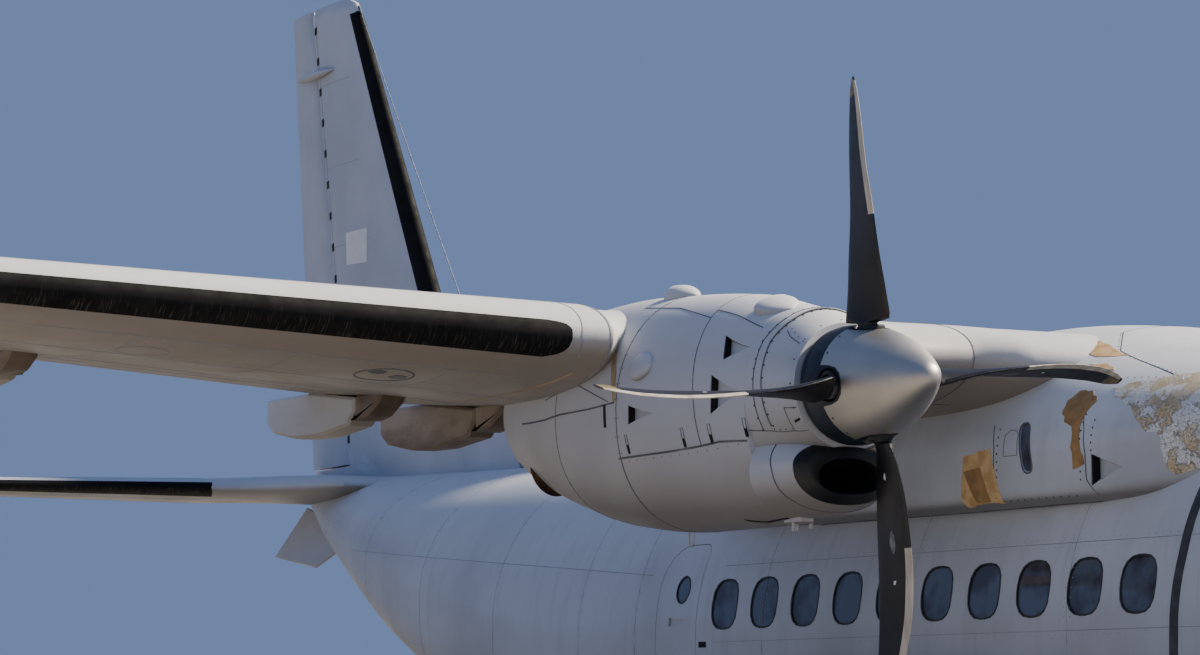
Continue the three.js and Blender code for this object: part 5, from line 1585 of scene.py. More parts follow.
# radius, lead of the chord's front edge, chord, thickness, angle from the disc in degrees, bend
BLADE = [
    (0.15, 0.055, 0.11, 0.11, 112.0, 0.0),
    (0.322, 0.055, 0.11, 0.108, 112.0, 0.02),
    (0.336, 0.15, 0.286, 0.084, 112.0, 0.025),
    (0.44, 0.164, 0.294, 0.062, 104.0, 0.027),
    (0.6, 0.173, 0.298, 0.046, 94.5, 0.027),
    (0.9, 0.17, 0.283, 0.03, 84.0, 0.018),
    (1.2, 0.139, 0.252, 0.021, 77.5, 0.01),
    (1.45, 0.086, 0.205, 0.015, 74.5, -0.008),
    (1.6, 0.012, 0.144, 0.011, 71.5, -0.024),
    (1.675, -0.052, 0.06, 0.007, 68.0, -0.029),
]
blade_columns = [track([row[0] for row in BLADE], [row[i] for row in BLADE]) for i in range(1, 6)]
BLADE_SIDES, SPINNER_SIDES = 32, 96
# shares of the spinner's length and angles beside a blade of the cut-out's edge
NOTCH_START = 0.16
NOTCH_EDGE = [(NOTCH_START, 0.36), (0.24, 0.35), (0.3, 0.31), (0.34, 0.2), (0.352, 0.08)]
# radius along the blade and angle round its section
CHIPS = (
    [(0.49, -1.42), (0.53, -1.46), (0.525, -1.6), (0.5, -1.56)],
    [(1.07, -1.45), (1.09, -1.5), (1.09, -1.6), (1.07, -1.58)],
)
WORN_SPOT = [
    (0.8, -1.5), (0.83, -1.38), (0.87, -1.35), (0.91, -1.4),
    (0.93, -1.52), (0.9, -1.64), (0.86, -1.68), (0.82, -1.62),
]
BACKPLATE = [(0.1, -0.25), (0.316, -0.25), (0.324, -0.243), (0.324, -0.206), (0.32, -0.2006), (0.1, -0.2006)]


def blade_point(r, angle, lift=0.0):
    """The skin of a blade that points up, by radius and angle round its section from the leading edge."""
    lead, chord, thick, turn, bend = [column(r) for column in blade_columns]
    turn = math.radians(turn)
    along = lead - (1 - math.cos(angle)) * chord / 2 + math.cos(angle) * lift
    across = math.sin(angle) * (thick / 2 + lift)
    forward = along * math.sin(turn) - across * math.cos(turn)
    sideways = along * math.cos(turn) + across * math.sin(turn)
    return Vector((forward, -sideways - bend, r))


def spinner_point(share, angle, lift=0.0):
    """The spinner's skin by share of its length from the base and angle about the shaft."""
    x, radius = -0.2 + 0.85 * share, 0.328 * max(0.0, 1 - share**2) ** 1.1
    if share > 0.86:
        # the tip is a ball
        a = math.radians(57.5) * (1 - share) / 0.14
        x, radius = 0.4833 + 0.0886 * math.cos(a), 0.0886 * math.sin(a)
    return Vector((x, (radius + lift) * math.cos(angle), (radius + lift) * math.sin(angle)))


def build_propellers():
    quarters = [Matrix.Rotation(math.pi / 2 * k, 4, "X") for k in range(4)]

    def four(draw):
        """Draws once for the blade that points up and turns copies to the other three."""
        stock = Stock()
        for turn in quarters:
            since = len(stock.points)
            draw(stock)
            stock.moved(turn, since)
        return stock

    def blades(s):
        radii = spans(0.15, 0.322, 0.05) + [0.326, 0.33, 0.336] + spans(0.36, 1.6, 0.035)
        radii += [1.62, 1.64, 1.655, 1.666, 1.672, 1.675]
        s.rings([[blade_point(r, a) for a in turns(BLADE_SIDES)] for r in radii])

    def edge_skin(low, high, width, growth, lift):
        """A drawing of the skin round the leading edge between two radii, which widens towards the tip."""

        def draw(s):
            rows = [(r, growth * (r - low) + width) for r in spans(low, high, 0.04)]
            s.sleeve(blade_point, [(r, -half, half) for r, half in rows], lift, lift + 0.001)

        return draw

    def tips(s):
        for face in (1, -1):
            low, high = sorted((face * 0.85, face * 3.05))
            middle = (low + high) / 2
            outline = [(1.58, low), (1.655, low), (1.666, middle), (1.65, high), (1.56, high), (1.565, middle)]
            s.patch(blade_point, outline, 0.0012, 0.002, spacing=0.03)

    def chips(s):
        for corners in CHIPS:
            s.patch(blade_point, roughened(corners, blade_point, 0.02, 0.006, 17), 0.0012, 0.002, spacing=0.02)

    def worn_spots(s):
        s.patch(blade_point, WORN_SPOT, 0.0012, 0.002, spacing=0.02)

    def collars(s):
        profile = [(0.058, 0.24), (0.075, 0.245), (0.078, 0.3), (0.07, 0.31), (0.058, 0.31)]
        s.turned(profile, (0, 0, 0), (0, 0, 1), 40, hollow=True)

    def notches(s):
        outline = [(t, math.pi / 2 - a) for t, a in NOTCH_EDGE]
        outline += [(t, math.pi / 2 + a) for t, a in reversed(NOTCH_EDGE)]
        s.patch(spinner_point, outline, 0.0015, 0.003, spacing=0.03)

    def screws(s):
        for spread in (-0.19, 0.19):
            start = math.pi / 4 + spread
            s.rivets(spinner_point, [(0.185, start), (0.185, start + 0.01)], 9, 0.006, 0.003)

    for side in SIDES:
        name = f"propeller_{side}"
        body = f"{name}_body"
        out = ENGINE_Y if side == "left" else -ENGINE_Y
        hub = Matrix.Translation((PROPELLER_X, out, PROPELLER_Z)) @ Matrix.Rotation(SPIN_ANGLE, 4, "X")
        stock = four(blades)
        stock.turned([(0.165, -0.12), (0.165, 0.14)], (0, 0, 0), (1, 0, 0), 40)
        stock.turned([(0.08, -0.74), (0.08, 0.0)], (0, 0, 0), (1, 0, 0), 32)
        stock = stock.moved(hub)
        stock.fitted(f"blades_{side}", "blade_composite_painted", slot="blade", body=body, replaced=[name])
        for draw, part, material in (
            (edge_skin(0.9, 1.65, 0.8, 0.35, 0.0014), "blade_edges", "blade_edge_urethane_taped"),
            (edge_skin(0.36, 0.895, 0.45, 0.13, 0.0016), "blade_boots", "blade_boot_neoprene_bonded"),
            (tips, "blade_tips", "blade_tip_primer_worn"),
            (chips, "blade_chips", FRESH),
            (worn_spots, "blade_worn_spots", "blade_polyurethane_rubbed"),
            (collars, "blade_collars", SEAL),
        ):
            four(draw).moved(hub).fitted(f"{part}_{side}", material, slot="blade", body=body)
        plate = Stock().turned(BACKPLATE, (0, 0, 0), (1, 0, 0), 96, hollow=True).moved(hub)
        plate.fitted(f"backplate_{side}", RIM, slot="spinner_metal", body=body)

        shares = [0, 0.02] + spans(0.05, NOTCH_START, 0.037) + spans(NOTCH_START + 0.03, 0.94, 0.03)
        shares += [0.96, 0.98, 0.995]
        cone = Stock().rings([[spinner_point(t, a) for a in turns(SPINNER_SIDES)] for t in shares])
        for k in range(SPINNER_SIDES * shares.index(NOTCH_START)):
            cone.numbers[k] = 1
        cone = cone.moved(hub).piece(f"spinner_{side}_shell", "spinner_aluminium_spun", RIM)
        carve(cone, Stock().bar((-0.3, 0, 0), (0.16, 0, 0), 0.177, sides=48).moved(hub))
        rims = four(notches).moved(hub).piece(f"spinner_{side}_notches", RIM)
        for turn in quarters:
            for piece in (cone, rims):
                carve(piece, Stock().bar((0, 0, 0.1), (0, 0, 0.4), 0.092, sides=40).moved(hub @ turn))
        fit(cone, "spinner_metal", body, [f"spinner_{side}"])
        fit(rims, "spinner_metal", body)
        four(screws).moved(hub).fitted(f"spinner_{side}_screws", SCREW, slot="spinner_metal", body=body)


# Tail

RUDDER_FOOT, RUDDER_HEAD = (-9.27, 3.85), (-10.285, 8.12)
ELEVATOR_Y, ELEVATOR_HINGE = (0.47, 5.0), (-9.96, -10.14)
# how far ahead of its hinge line each fixed surface ends, and the radius of the rudder's nose at foot and head
RUDDER_SHROUD, ELEVATOR_SHROUD, RUDDER_NOSE = 0.182, 0.086, (0.16, 0.07)
# rear end, length and radius of the actuator's fairing, and its y and height
BULLET_REAR, BULLET_LENGTH, BULLET_RADIUS, BULLET_AXIS = -10.33, 0.81, 0.045, (-0.12, 7.515)
DORSAL = [(-7.9, 0.06, 4.9), (-7.25, 0.12, 4.78), (-5.7, 0.1, 4.33), (-4.2, 0.07, 3.92), (-2.7, 0.03, 3.56)]
VENTRAL_FIN = [(-7.95, -0.56, 3.12), (-9.6, -0.3, 3.45), (-9.5, -0.66, 2.99), (-8.4, -0.76, 2.86)]


def rudder_hinge(z):
    """x of the rudder's hinge line at a height."""
    (x0, z0), (x1, z1) = RUDDER_FOOT, RUDDER_HEAD
    return x0 + (x1 - x0) * (z - z0) / (z1 - z0)


def elevator_hinge(y):
    (y0, y1), (x0, x1) = ELEVATOR_Y, ELEVATOR_HINGE
    return x0 + (x1 - x0) * (y - y0) / (y1 - y0)


def fin_side(face):
    """The fin's surface by height and x; face is 1 on the left and -1 on the right."""
    return lambda z, x, lift=0.0: fin.point(z, fin.share_of(z, x), face, lift)


def build_tail():
    head = [8.06, 8.11, 8.14, 8.16, 8.172, 8.177]
    stock, rings = Stock(), []
    for z in [3.62, 3.7, 3.8125, 3.8135] + spans(3.9, 8.0, 0.2) + head:
        cut = min(fin.share_of(z, rudder_hinge(z) + RUDDER_SHROUD), 0.98) if z > 3.813 else 1.0
        rings.append(fin.ring(z, cut, fixed=min(0.5, cut * 0.8)))
    stock.rings(rings)
    half, top = [track([row[0] for row in DORSAL], [row[i] for row in DORSAL]) for i in (1, 2)]
    rings = []
    for x in spans(-7.9, -2.7, 0.15):
        wide, high = half(x), top(x) - 3.45
        flank = [(1, 0), (0.9, 0.35), (0.66, 0.65), (0.36, 0.92), (0.14, 1)]
        points = flank + [(-y, z) for y, z in reversed(flank)]
        rings.append([(x, wide * y, 3.45 + high * z) for y, z in points])
    stock.rings(rings).fitted("fin_skin", TAIL_PAINT, replaced=["fin"])

    radius = track([3.85, 8.12], RUDDER_NOSE, True)
    rings = []
    for z in [3.829, 3.85] + spans(4.0, 8.0, 0.2) + head:
        share = min(fin.share_of(z, rudder_hinge(z)), 0.93)
        rings.append(fin.rear_ring(z, share, radius(min(max(z, 3.85), 8.12))))
    rudder = Stock().rings(rings)
    rudder.fitted("rudder_skin", TAIL_PAINT, slot="control_skin", body="rudder_body", replaced=["rudder"])

    places = [0.06, 0.3, 0.4544, 0.4554, 5.0145, 5.0155, 5.05, 5.12, 5.18, 5.23, 5.27, 5.29, 5.3]
    for side in SIDES:
        rings = []
        for y in sorted(places + spans(0.55, 4.95, 0.2)):
            cut = tailplane.share_of(y, elevator_hinge(y) + ELEVATOR_SHROUD) if 0.455 < y < 5.015 else 1.0
            rings.append(tailplane.ring(y, cut, fixed=0.6))
        Stock().rings(rings).on(side).fitted(f"tailplane_{side}_skin", TAIL_PAINT, replaced=[f"tailplane_{side}"])
        rings = []
        for y in spans(0.472, 4.998, 0.2):
            share = tailplane.share_of(y, elevator_hinge(y))
            rings.append(tailplane.rear_ring(y, share, 0.07 - 0.03 * (y - 0.47) / 4.53))
        name = f"elevator_{side}"
        elevator = Stock().rings(rings).on(side)
        elevator.fitted(f"{name}_skin", TAIL_PAINT, slot="control_skin", body=f"{name}_body", replaced=[name])
        corners = [Vector(c) for c in VENTRAL_FIN]
        out = (corners[1] - corners[0]).cross(corners[3] - corners[0]).normalized()
        middle = sum(corners, Vector()) / 4
        inner = [c + (middle - c).normalized() * 0.05 for c in corners]
        layers = ((inner, 0.024), (corners, 0.01), (corners, -0.01), (inner, -0.024))
        strake = Stock().rings([[c + out * rise for c in points] for points, rise in layers]).on(side)
        strake.fitted(f"ventral_fin_{side}_skin", TAIL_PAINT, replaced=[f"ventral_fin_{side}"])

    edge = [(z, 0.235 + 0.012 * (z - 4.97)) for z in spans(4.97, 8.0, 0.1)] + [(8.02, 0.1)]
    boots = Stock().sleeve(fin.wrap, [(z, -w, w) for z, w in edge])
    boots.fitted("fin_deicer_boot", BOOT_RUBBER)

    def tail_boots(s):
        rows = [(1.39, -0.05, 0.03), (1.42, -0.2, 0.13)]
        rows += [(y, -0.27, 0.16) for y in spans(1.48, 5.02, 0.2)] + [(5.05, -0.05, 0.03)]
        s.sleeve(tailplane.wrap, rows)

    def tail_seams(s):
        for face in (tailplane.upper, tailplane.lower):
            for share in (0.16, 0.45):
                s.strip(face, [(1.5, share), (5.0, share)], lift=0.0012, step=0.25)
            for span in spans(1.6, 4.9, 0.66):
                s.strip(face, [(span, 0.16), (span, 0.55)], lift=0.0012, step=0.15)
            s.rivets(face, [(1.5, 0.18), (5.0, 0.18)], 0.08)

    def fin_seams(s):
        surface = fin_side(-1)
        s.strip(surface, [(z, rudder_hinge(z) + 0.23) for z in spans(3.95, 8.05, 0.4)], 0.006, step=0.2)
        for z in (4.6, 5.2, 5.85, 6.6, 7.4):
            x = rudder_hinge(z)
            s.strip(surface, [(z, x + 0.23), (z, x + 1.25 - (z - 4.6) * 0.12)], lift=0.0012, step=0.2)
        s.rivets(surface, [(z, rudder_hinge(z) + 0.27) for z in (4.0, 8.0)], 0.09)

    # near-black painted shade in the slots by the rudder's hinges
    def hinge_slots(s):
        for z in spans(4.05, 7.95, 0.3):
            x = rudder_hinge(z) + 0.2
            outline = [(z - 0.035, x), (z - 0.025, x + 0.05), (z + 0.045, x + 0.04), (z + 0.035, x - 0.01)]
            s.patch(fin_side(-1), outline, 0.003, 0.004)

    fit_pairs((
        (tail_boots, "tailplane_deicer_boots", BOOT_RUBBER),
        (tail_seams, "tailplane_seams", FAINT_SEAM),
        (fin_seams, "fin_seams", FAINT_SEAM),
        (hinge_slots, "fin_hinge_slots", SHADE_BLACK),
    ))
    fresh = [(5.951, -9.188), (5.941, -8.695), (5.629, -8.675), (5.653, -9.156)]
    Stock().patch(fin_side(-1), fresh, 0.003, 0.004).fitted("fin_fresh_patch", FRESH)

    rows = []
    for k in range(15):
        swell = max(0.09, math.sin(math.pi * (k / 14) ** 0.8) ** 0.7)
        rows.append((BULLET_REAR + BULLET_LENGTH * k / 14, BULLET_RADIUS * swell))
    bullet = spindle(rows, *BULLET_AXIS, 20)
    bullet.block((-10.1, -0.1, 7.505), (-9.8, -0.03, 7.525))
    bullet.fitted("fin_actuator_bullet", TAIL_PAINT, slot="control_skin", body="rudder_body")


# Landing gear

MAIN_WHEELS_X, MAIN_WHEEL_Y, MAIN_RADIUS, MAIN_WIDTH, MAIN_RIM = (2.375, 1.425), 1.95, 0.3555, 0.229, 0.2
NOSE_WHEEL_X, NOSE_RADIUS, NOSE_WIDTH, NOSE_RIM = 8.82, 0.305, 0.196, 0.165
WELL = [(0.96, -2.11, 0.0), (2.86, -1.66, 1.06)]
# shares of the rim's radius and of half the width, from the hub out
WHEEL_WEB = ((0.46, 0.42), (0.7, 0.3), (0.84, 0.38), (0.9, 0.66), (0.96, 0.8))
# x ahead of the axle, y and height of the points of a brake hose, 0.505 m long
BRAKE_HOSE = [
    (0.13, -1.84, 0.3955), (0.2, -1.82, 0.4955), (0.26, -1.815, 0.6255), (0.33, -1.81, 0.7555), (0.36, -1.8, 0.84),
]
# radius and height above its foot of the nose leg's tube
NOSE_TUBE = [
    (0.062, 0.0), (0.062, 0.05), (0.068, 0.055), (0.068, 0.09), (0.062, 0.095), (0.064, 0.4), (0.07, 0.779),
]
TAXI_GLASS = [(0.004, 0.0), (0.035, 0.002), (0.04, 0.006), (0.04, 0.01)]


def both_sides(half):
    """A closed profile from its left half."""
    return half + [(r, -y) for r, y in reversed(half)]


def tyre_profile(radius, width, rim):
    """A tyre's section from bead to crown, with shallow tread grooves."""
    half, side = width / 2, radius - rim
    wall = [(0, 0.72), (0.12, 0.86), (0.4, 0.995), (0.62, 0.985), (0.8, 0.92), (0.93, 0.74)]
    left = [(rim + side * out, -half * wide) for out, wide in wall] + [(radius - 0.006, -half * 0.62)]
    for share in (-0.46, -0.16):
        for offset, drop in ((-0.035, 0.0), (-0.03, 0.006), (0.03, 0.006), (0.035, 0.0)):
            left.append((radius - drop - 0.004 * abs(share), half * (share + offset)))
    return both_sides(left)


def wheel_profile(width, rim):
    """A cast wheel's section: hub, dished web and rim."""
    half = width / 2
    left = [(0.034, 0.62), (0.058, 0.62), (0.066, 0.5)]
    left += [(rim * out, wide) for out, wide in WHEEL_WEB]
    return both_sides([(r, -half * wide) for r, wide in left + [(rim - 0.001, 0.8)]])


def build_wheel(name, x, y, radius, width, rim):
    centre, axle = Vector((x, y, radius)), Vector((0, 1, 0))
    body = f"{name}_wheel_body" if name == "nose" else f"{name}_body"
    tyre = Stock().turned(tyre_profile(radius, width, rim), centre, axle, 88, hollow=True)
    tyre.fitted(f"{name}_tyre_rubber", "tyre_rubber_vulcanised", slot="tyre", body=body, replaced=[f"{name}_tyre"])
    hub = Stock().turned(wheel_profile(width, rim), centre, axle, 64, hollow=True)
    hub = hub.piece(f"{name}_wheel_casting", "wheel_magnesium_cast")
    holes, nuts = Stock(), Stock()
    for k in range(16):
        a = math.tau * k / 16
        out = Vector((math.cos(a), 0, math.sin(a))) * rim
        if k % 2:
            holes.bar(centre + out * 0.62 - axle * 0.1, centre + out * 0.62 + axle * 0.1, rim * 0.085, sides=20)
        for face in (-1, 1):
            place = centre + out * 0.84 + axle * face * width * 0.19
            nuts.bar(place, place + axle * face * 0.012, 0.0075, sides=6)
    fit(carve(hub, holes), "wheel_alloy", body, [f"{name}_wheel"])
    nuts.fitted(f"{name}_wheel_nuts", BRAKE_STEEL, slot="wheel_alloy", body=body)


def build_main_gear():
    arm_y, z = -1.745, MAIN_RADIUS
    front_x, rear_x = MAIN_WHEELS_X

    def legs(s):
        s.block((rear_x - 0.06, -1.8, 0.8), (front_x + 0.46, -1.6604, 0.96), 0.018)
        for x in MAIN_WHEELS_X:
            s.bar((x + 0.38, arm_y, 0.85), (x, arm_y, z), 0.062, 0.046, 28)
            s.bar((x, arm_y - 0.055, z), (x, arm_y + 0.055, z), 0.06, sides=32)
            s.bar((x + 0.38, arm_y - 0.075, 0.85), (x + 0.38, arm_y + 0.06, 0.85), 0.072, sides=32)
            s.bar((x + 0.035, arm_y, 0.62), (x + 0.02, arm_y, 0.9), 0.043, sides=28)
            s.bar((x + 0.034, arm_y, 0.6), (x + 0.034, arm_y, 0.63), 0.048, sides=28)

    def oleos(s):
        for x in MAIN_WHEELS_X:
            s.bar((x + 0.07, arm_y, 0.43), (x + 0.03, arm_y, 0.64), 0.03, sides=28)
            s.bar((x, arm_y + 0.055, z), (x, -MAIN_WHEEL_Y - 0.105, z), 0.03)

    def brakes(s):
        disc = [(0.06, 0), (0.148, 0), (0.15, 0.002), (0.15, 0.007), (0.148, 0.009), (0.06, 0.009)]
        for x in MAIN_WHEELS_X:
            for y in (-1.862, -1.876):
                s.turned(disc, (x, y, z), (0, 1, 0), hollow=True)
            s.block((x + 0.085, -1.885, z - 0.05), (x + 0.15, -1.835, z + 0.05), 0.008)
            s.bar((x, -MAIN_WHEEL_Y - 0.1, z), (x, -MAIN_WHEEL_Y - 0.118, z), 0.045, 0.03, 6)

    def hoses(s):
        for x in MAIN_WHEELS_X:
            route = [(x + dx, y, height) for dx, y, height in BRAKE_HOSE]
            for a, b in zip(route, route[1:]):
                s.bar(a, b, 0.007, sides=10)

    forgings = paired(legs)
    legs_replaced = [f"main_gear_{side}" for side in reversed(SIDES)]
    forgings.fitted("main_gear_forgings", GEAR_ENAMEL, slot="gear_steel", replaced=legs_replaced)
    fit_pairs((
        (oleos, "main_gear_pistons", CHROME),
        (brakes, "main_gear_brakes", BRAKE_STEEL),
        (hoses, "main_gear_hoses", "hose_rubber_braided"),
    ), slot="gear_steel")
    for place, x in zip(("front", "rear"), MAIN_WHEELS_X):
        for side, y in (("right", -MAIN_WHEEL_Y), ("left", MAIN_WHEEL_Y)):
            build_wheel(f"main_{place}_{side}", x, y, MAIN_RADIUS, MAIN_WIDTH, MAIN_RIM)


def build_nose_gear():
    build_wheel("nose", NOSE_WHEEL_X, 0.0, NOSE_RADIUS, NOSE_WIDTH, NOSE_RIM)
    x, arm = NOSE_WHEEL_X, NOSE_WIDTH / 2 + 0.046
    leg = Stock().turned(NOSE_TUBE, (x, 0, 0.74), (0, 0, 1), 40)
    leg.bar((x, 0, 1.0), (x + 0.48, 0, 1.4), 0.03)
    leg.bar((x, -0.2146, 1.4), (x, 0.2146, 1.4), 0.04)
    leg.bar((x + 0.48, -0.15, 1.4), (x + 0.48, 0.15, 1.4), 0.035)
    leg.block((x - 0.13, -0.05, 0.8), (x - 0.06, 0.05, 0.9), 0.01)
    leg.bar((x + 0.095, -0.06, 1.12), (x + 0.095, 0.06, 1.12), 0.045, sides=28)
    leg.fitted("nose_leg_forging", GEAR_ENAMEL, slot="gear_steel", replaced=["nose_leg"])
    lamp = Stock().turned(TAXI_GLASS, (x + 0.135, 0, 1.12), (1, 0, 0), 28)
    lamp.turned([(0.048, -0.02), (0.048, 0.006), (0.042, 0.01)], (x + 0.12, 0, 1.12), (1, 0, 0), 28)
    lamp.fitted("nose_taxi_lamp", "lamp_glass_clear", slot="gear_steel")

    fork = Stock()
    fork.block((x - 0.06, -arm - 0.016, NOSE_RADIUS * 2 + 0.03), (x + 0.06, arm + 0.016, 0.72), 0.014)
    for y in (-arm, arm):
        fork.bar((x, y, NOSE_RADIUS), (x, y, 0.69), 0.03, 0.038, 28)
        fork.bar((x, y - 0.022, NOSE_RADIUS), (x, y + 0.022, NOSE_RADIUS), 0.044, sides=28)
    fork.bar((x, -arm - 0.02, NOSE_RADIUS), (x, arm + 0.02, NOSE_RADIUS), 0.031, sides=28)
    fork.block((x - 0.12, -0.03, 0.655), (x - 0.055, 0.03, 0.705), 0.008)
    body = "nose_fork_body"
    fork.fitted("nose_fork_forging", GEAR_ENAMEL, slot="gear_steel", body=body, replaced=["nose_fork"])
    piston = Stock().bar((x, 0, 0.7), (x, 0, 0.738), 0.05, sides=32)
    piston.fitted("nose_fork_piston", CHROME, slot="gear_steel", body=body)

    doors, walls = Stock(), Stock()
    for y in (-0.239, 0.217):
        doors.block((8.4, y, 0.64), (9.42, y + 0.022, 1.15), 0.006)
    for y in (-0.2149, 0.2119):
        walls.block((8.3805, y, 1.12), (9.4395, y + 0.003, 1.5195))
    walls.block((8.3805, -0.2149, 1.516), (9.4395, 0.2149, 1.5198))
    doors.fitted("nose_gear_doors", FUSELAGE_PAINT)
    walls.fitted("nose_bay_walls", BAY_PRIMER)


def build_sponsons():
    for side in SIDES:
        name = f"sponson_{side}"
        shell = Stock().rings(sponson.rings(4.35, -1.4, 0.1, 80)).on(side).piece(f"{name}_skin", FUSELAGE_PAINT)
        fit(carve(shell, Stock().block(*WELL).on(side)), replaced=[name])

    def roofs(s):
        (x0, y0, _), (x1, y1, top) = WELL
        s.block((x0 + 0.001, y0 + 0.001, top - 0.004), (x1 - 0.001, y1 - 0.001, top - 0.0005))

    def seams(s):
        for x in (3.5, 2.95, 0.3, -0.5):
            s.strip(sponson.flank, [(x, 1.8 if x < 3 else 1.7), (x, 1.3), (x, 0.9)], 0.004, step=0.08)
        s.strip(sponson.flank, [(3.9, 1.3), (2.0, 1.32), (-0.9, 1.3)], 0.004, step=0.15)
        s.rivets(sponson.flank, [(3.6, 1.33), (-0.7, 1.33)], 0.09)

    paired(roofs).fitted("wheel_well_roofs", BAY_PRIMER)
    paired(seams).fitted("sponson_seams", FAINT_SEAM)


# Small fittings

FRAME_X = (9.3, 8.15, 6.6, 5.4, 3.9, 2.2, 0.4, -1.35, -2.2, -3.6, -5.0, -6.4, -7.75, -8.9)
LONG_JOINTS = [
    [(8.0, 2.06), (5.6, 2.065)],
    [(5.6, 2.585), (-0.2, 2.585)],
    [(5.6, 2.065), (-0.25, 2.065)],
    [(5.5, 1.35), (-2.4, 1.35)],
    [(-1.2, 2.55), (-6.9, 2.95)],
]
CREW_DOOR = [(7.95, 1.26), (7.95, 2.75), (7.2, 2.75), (7.2, 1.26)]
# height, front and rear of each long row of rivets
RIVET_ROWS = ((2.61, 5.5, -0.2), (2.56, 5.5, -0.2), (2.04, 7.9, -0.4), (1.37, 5.5, -2.2), (2.09, 7.9, 5.6))
STRIPE_X = 4.95
# how far the middle of the dark stripe lies ahead of that, by degrees from the left
STRIPE_LINE = [(0.0, 140), (0.02, 165), (-0.02, 185), (-0.06, 200), (-0.09, 235)]
# front end, distance from the plane of symmetry and height of the lamp on each wing tip
TIP_LAMP = (1.71, 12.87, 4.155)
# x and height of the foot of each pitot probe
PROBES = ((9.15, 1.75), (8.95, 1.62))
# x, height of the foot, height and chord of each blade aerial
AERIALS = ((6.9, 3.545, 0.3, 0.26), (-1.6, 3.56, 0.24, 0.22), (5.9, 0.96, -0.2, 0.22), (4.6, 0.96, -0.2, 0.22))
# the wire is 5.79 m long and hangs 30 mm below a straight line at its middle
WIRE_ENDS = (-9.22, 0.0, 8.07), (-5.553, -0.185, 3.59)
WIRE_SAG = 0.03


def build_fittings():
    def seams(s):
        for x in FRAME_X:
            high, low = 180 if x > 8.2 else 96, 262 if x < 7.9 else 250
            s.strip(hull.skin, [(x, high), (x, 200 if -7.7 < x < -2.5 else low)], 0.003, step=0.12)
        for path in LONG_JOINTS:
            s.strip(hull.flank, path, 0.003, step=0.25)
        s.strip(hull.flank, CREW_DOOR, 0.005, closed=True, step=0.1)

    def rivets(s):
        for z, x0, x1 in RIVET_ROWS:
            s.rivets(hull.flank, [(x0, z), (x1, z)], 0.07)
        for x in FRAME_X[3:-2]:
            for beside in (x - 0.03, x + 0.03):
                high, low = (2.78, 1.45) if x > -3 else (3.2, 2.9)
                s.rivets(hull.flank, [(beside, high), (beside, low)], 0.06)

    def stripes(s):
        half = chosen().stripe_width / 2
        front = [(STRIPE_X + dx + half, a) for dx, a in STRIPE_LINE]
        s.patch(hull.skin, front + [(STRIPE_X + dx - half, a) for dx, a in reversed(STRIPE_LINE)])

    # near-black painted shade in the door handle's well and in a small slot
    def handles(s):
        s.patch(hull.flank, rounded(DOOR_HANDLE, 0.012, -0.004), -0.03, 0.004)
        s.patch(hull.flank, [(-0.44, 2.03), (-0.34, 2.03), (-0.34, 2.07), (-0.44, 2.07)], 0.0015, 0.004)

    def probes(s):
        for x, z in PROBES:
            foot = hull.flank(x, z)
            out = (hull.flank(x, z, 0.01) - foot).normalized()
            bend = foot + out * 0.09
            s.bar(foot - out * 0.01, bend, 0.012, 0.009, 14)
            s.bar(bend - Vector((0.02, 0, 0)), bend + Vector((0.16, 0, 0)), 0.009, 0.006, 14)

    fit_pairs((
        (seams, "fuselage_seams", FAINT_SEAM),
        (rivets, "fuselage_rivets", RIVET),
        (stripes, "propeller_plane_stripes", "stripe_enamel_brushed"),
        (handles, "door_handle_wells", SHADE_BLACK),
        (probes, "pitot_probes", "probe_nickel_drawn"),
    ))

    x, y, z = TIP_LAMP
    rows = [(x - 0.018 * k, 0.03 * max(0.05, math.sin(math.pi * k / 10)) ** 0.6) for k in range(11)]
    for tint, middle in (("green", -y), ("red", y)):
        spindle(rows, middle, z, 16).fitted(f"tip_lamp_{tint}", f"lamp_glass_{tint}", slot="glazing")

    aerials = Stock()
    blade = [(0, 0), (0.15, 1), (0.4, 1), (0.8, 1), (1, 0), (0.8, -1), (0.4, -1), (0.15, -1)]
    for x, z, tall, chord in AERIALS:
        rings = []
        for t in (0, 0.3, 0.6, 0.9, 1.0):
            c = chord * (1 - 0.55 * t)
            thin = 0.012 * (1 - 0.5 * t)
            rings.append([(x - 0.14 * t + c * (0.5 - u), v * thin, z + tall * t) for u, v in blade])
        aerials.rings(rings)
    aerials.fitted("aerial_blades", FRESH)

    high, low = [Vector(end) for end in WIRE_ENDS]
    wire = Stock()
    places = [high.lerp(low, t) - Vector((0, 0, 4 * WIRE_SAG * t * (1 - t))) for t in spans(0, 1, 0.05)]
    for a, b in zip(places, places[1:]):
        wire.bar(a, b, 0.004, sides=8)
    wire.bar(low, low.lerp(high, 0.015), 0.014, 0.008, 16)
    wire.bar(high, high.lerp(low, 0.02), 0.012, 0.008, 16)
    wire.fitted("aerial_wire", "aerial_steel_drawn")


# Stage

FLOOR_HALF, FLOOR_DEPTH = 60, 0.07
# where the camera stands, and its turn from the tail and its tilt upwards, in radians
CAMERA_PLACE, CAMERA_YAW, CAMERA_PITCH = (22.398, -14.566, 1.578), 0.4956, 0.1008
SKY_COLOUR, KEY_COLOUR = "98b5f0", "fff1dc"
# the way the key light shines, and its apparent width, which softens the shadows' edges
KEY_WAY, KEY_SPREAD = (-0.25, -0.7, -0.62), math.radians(8)


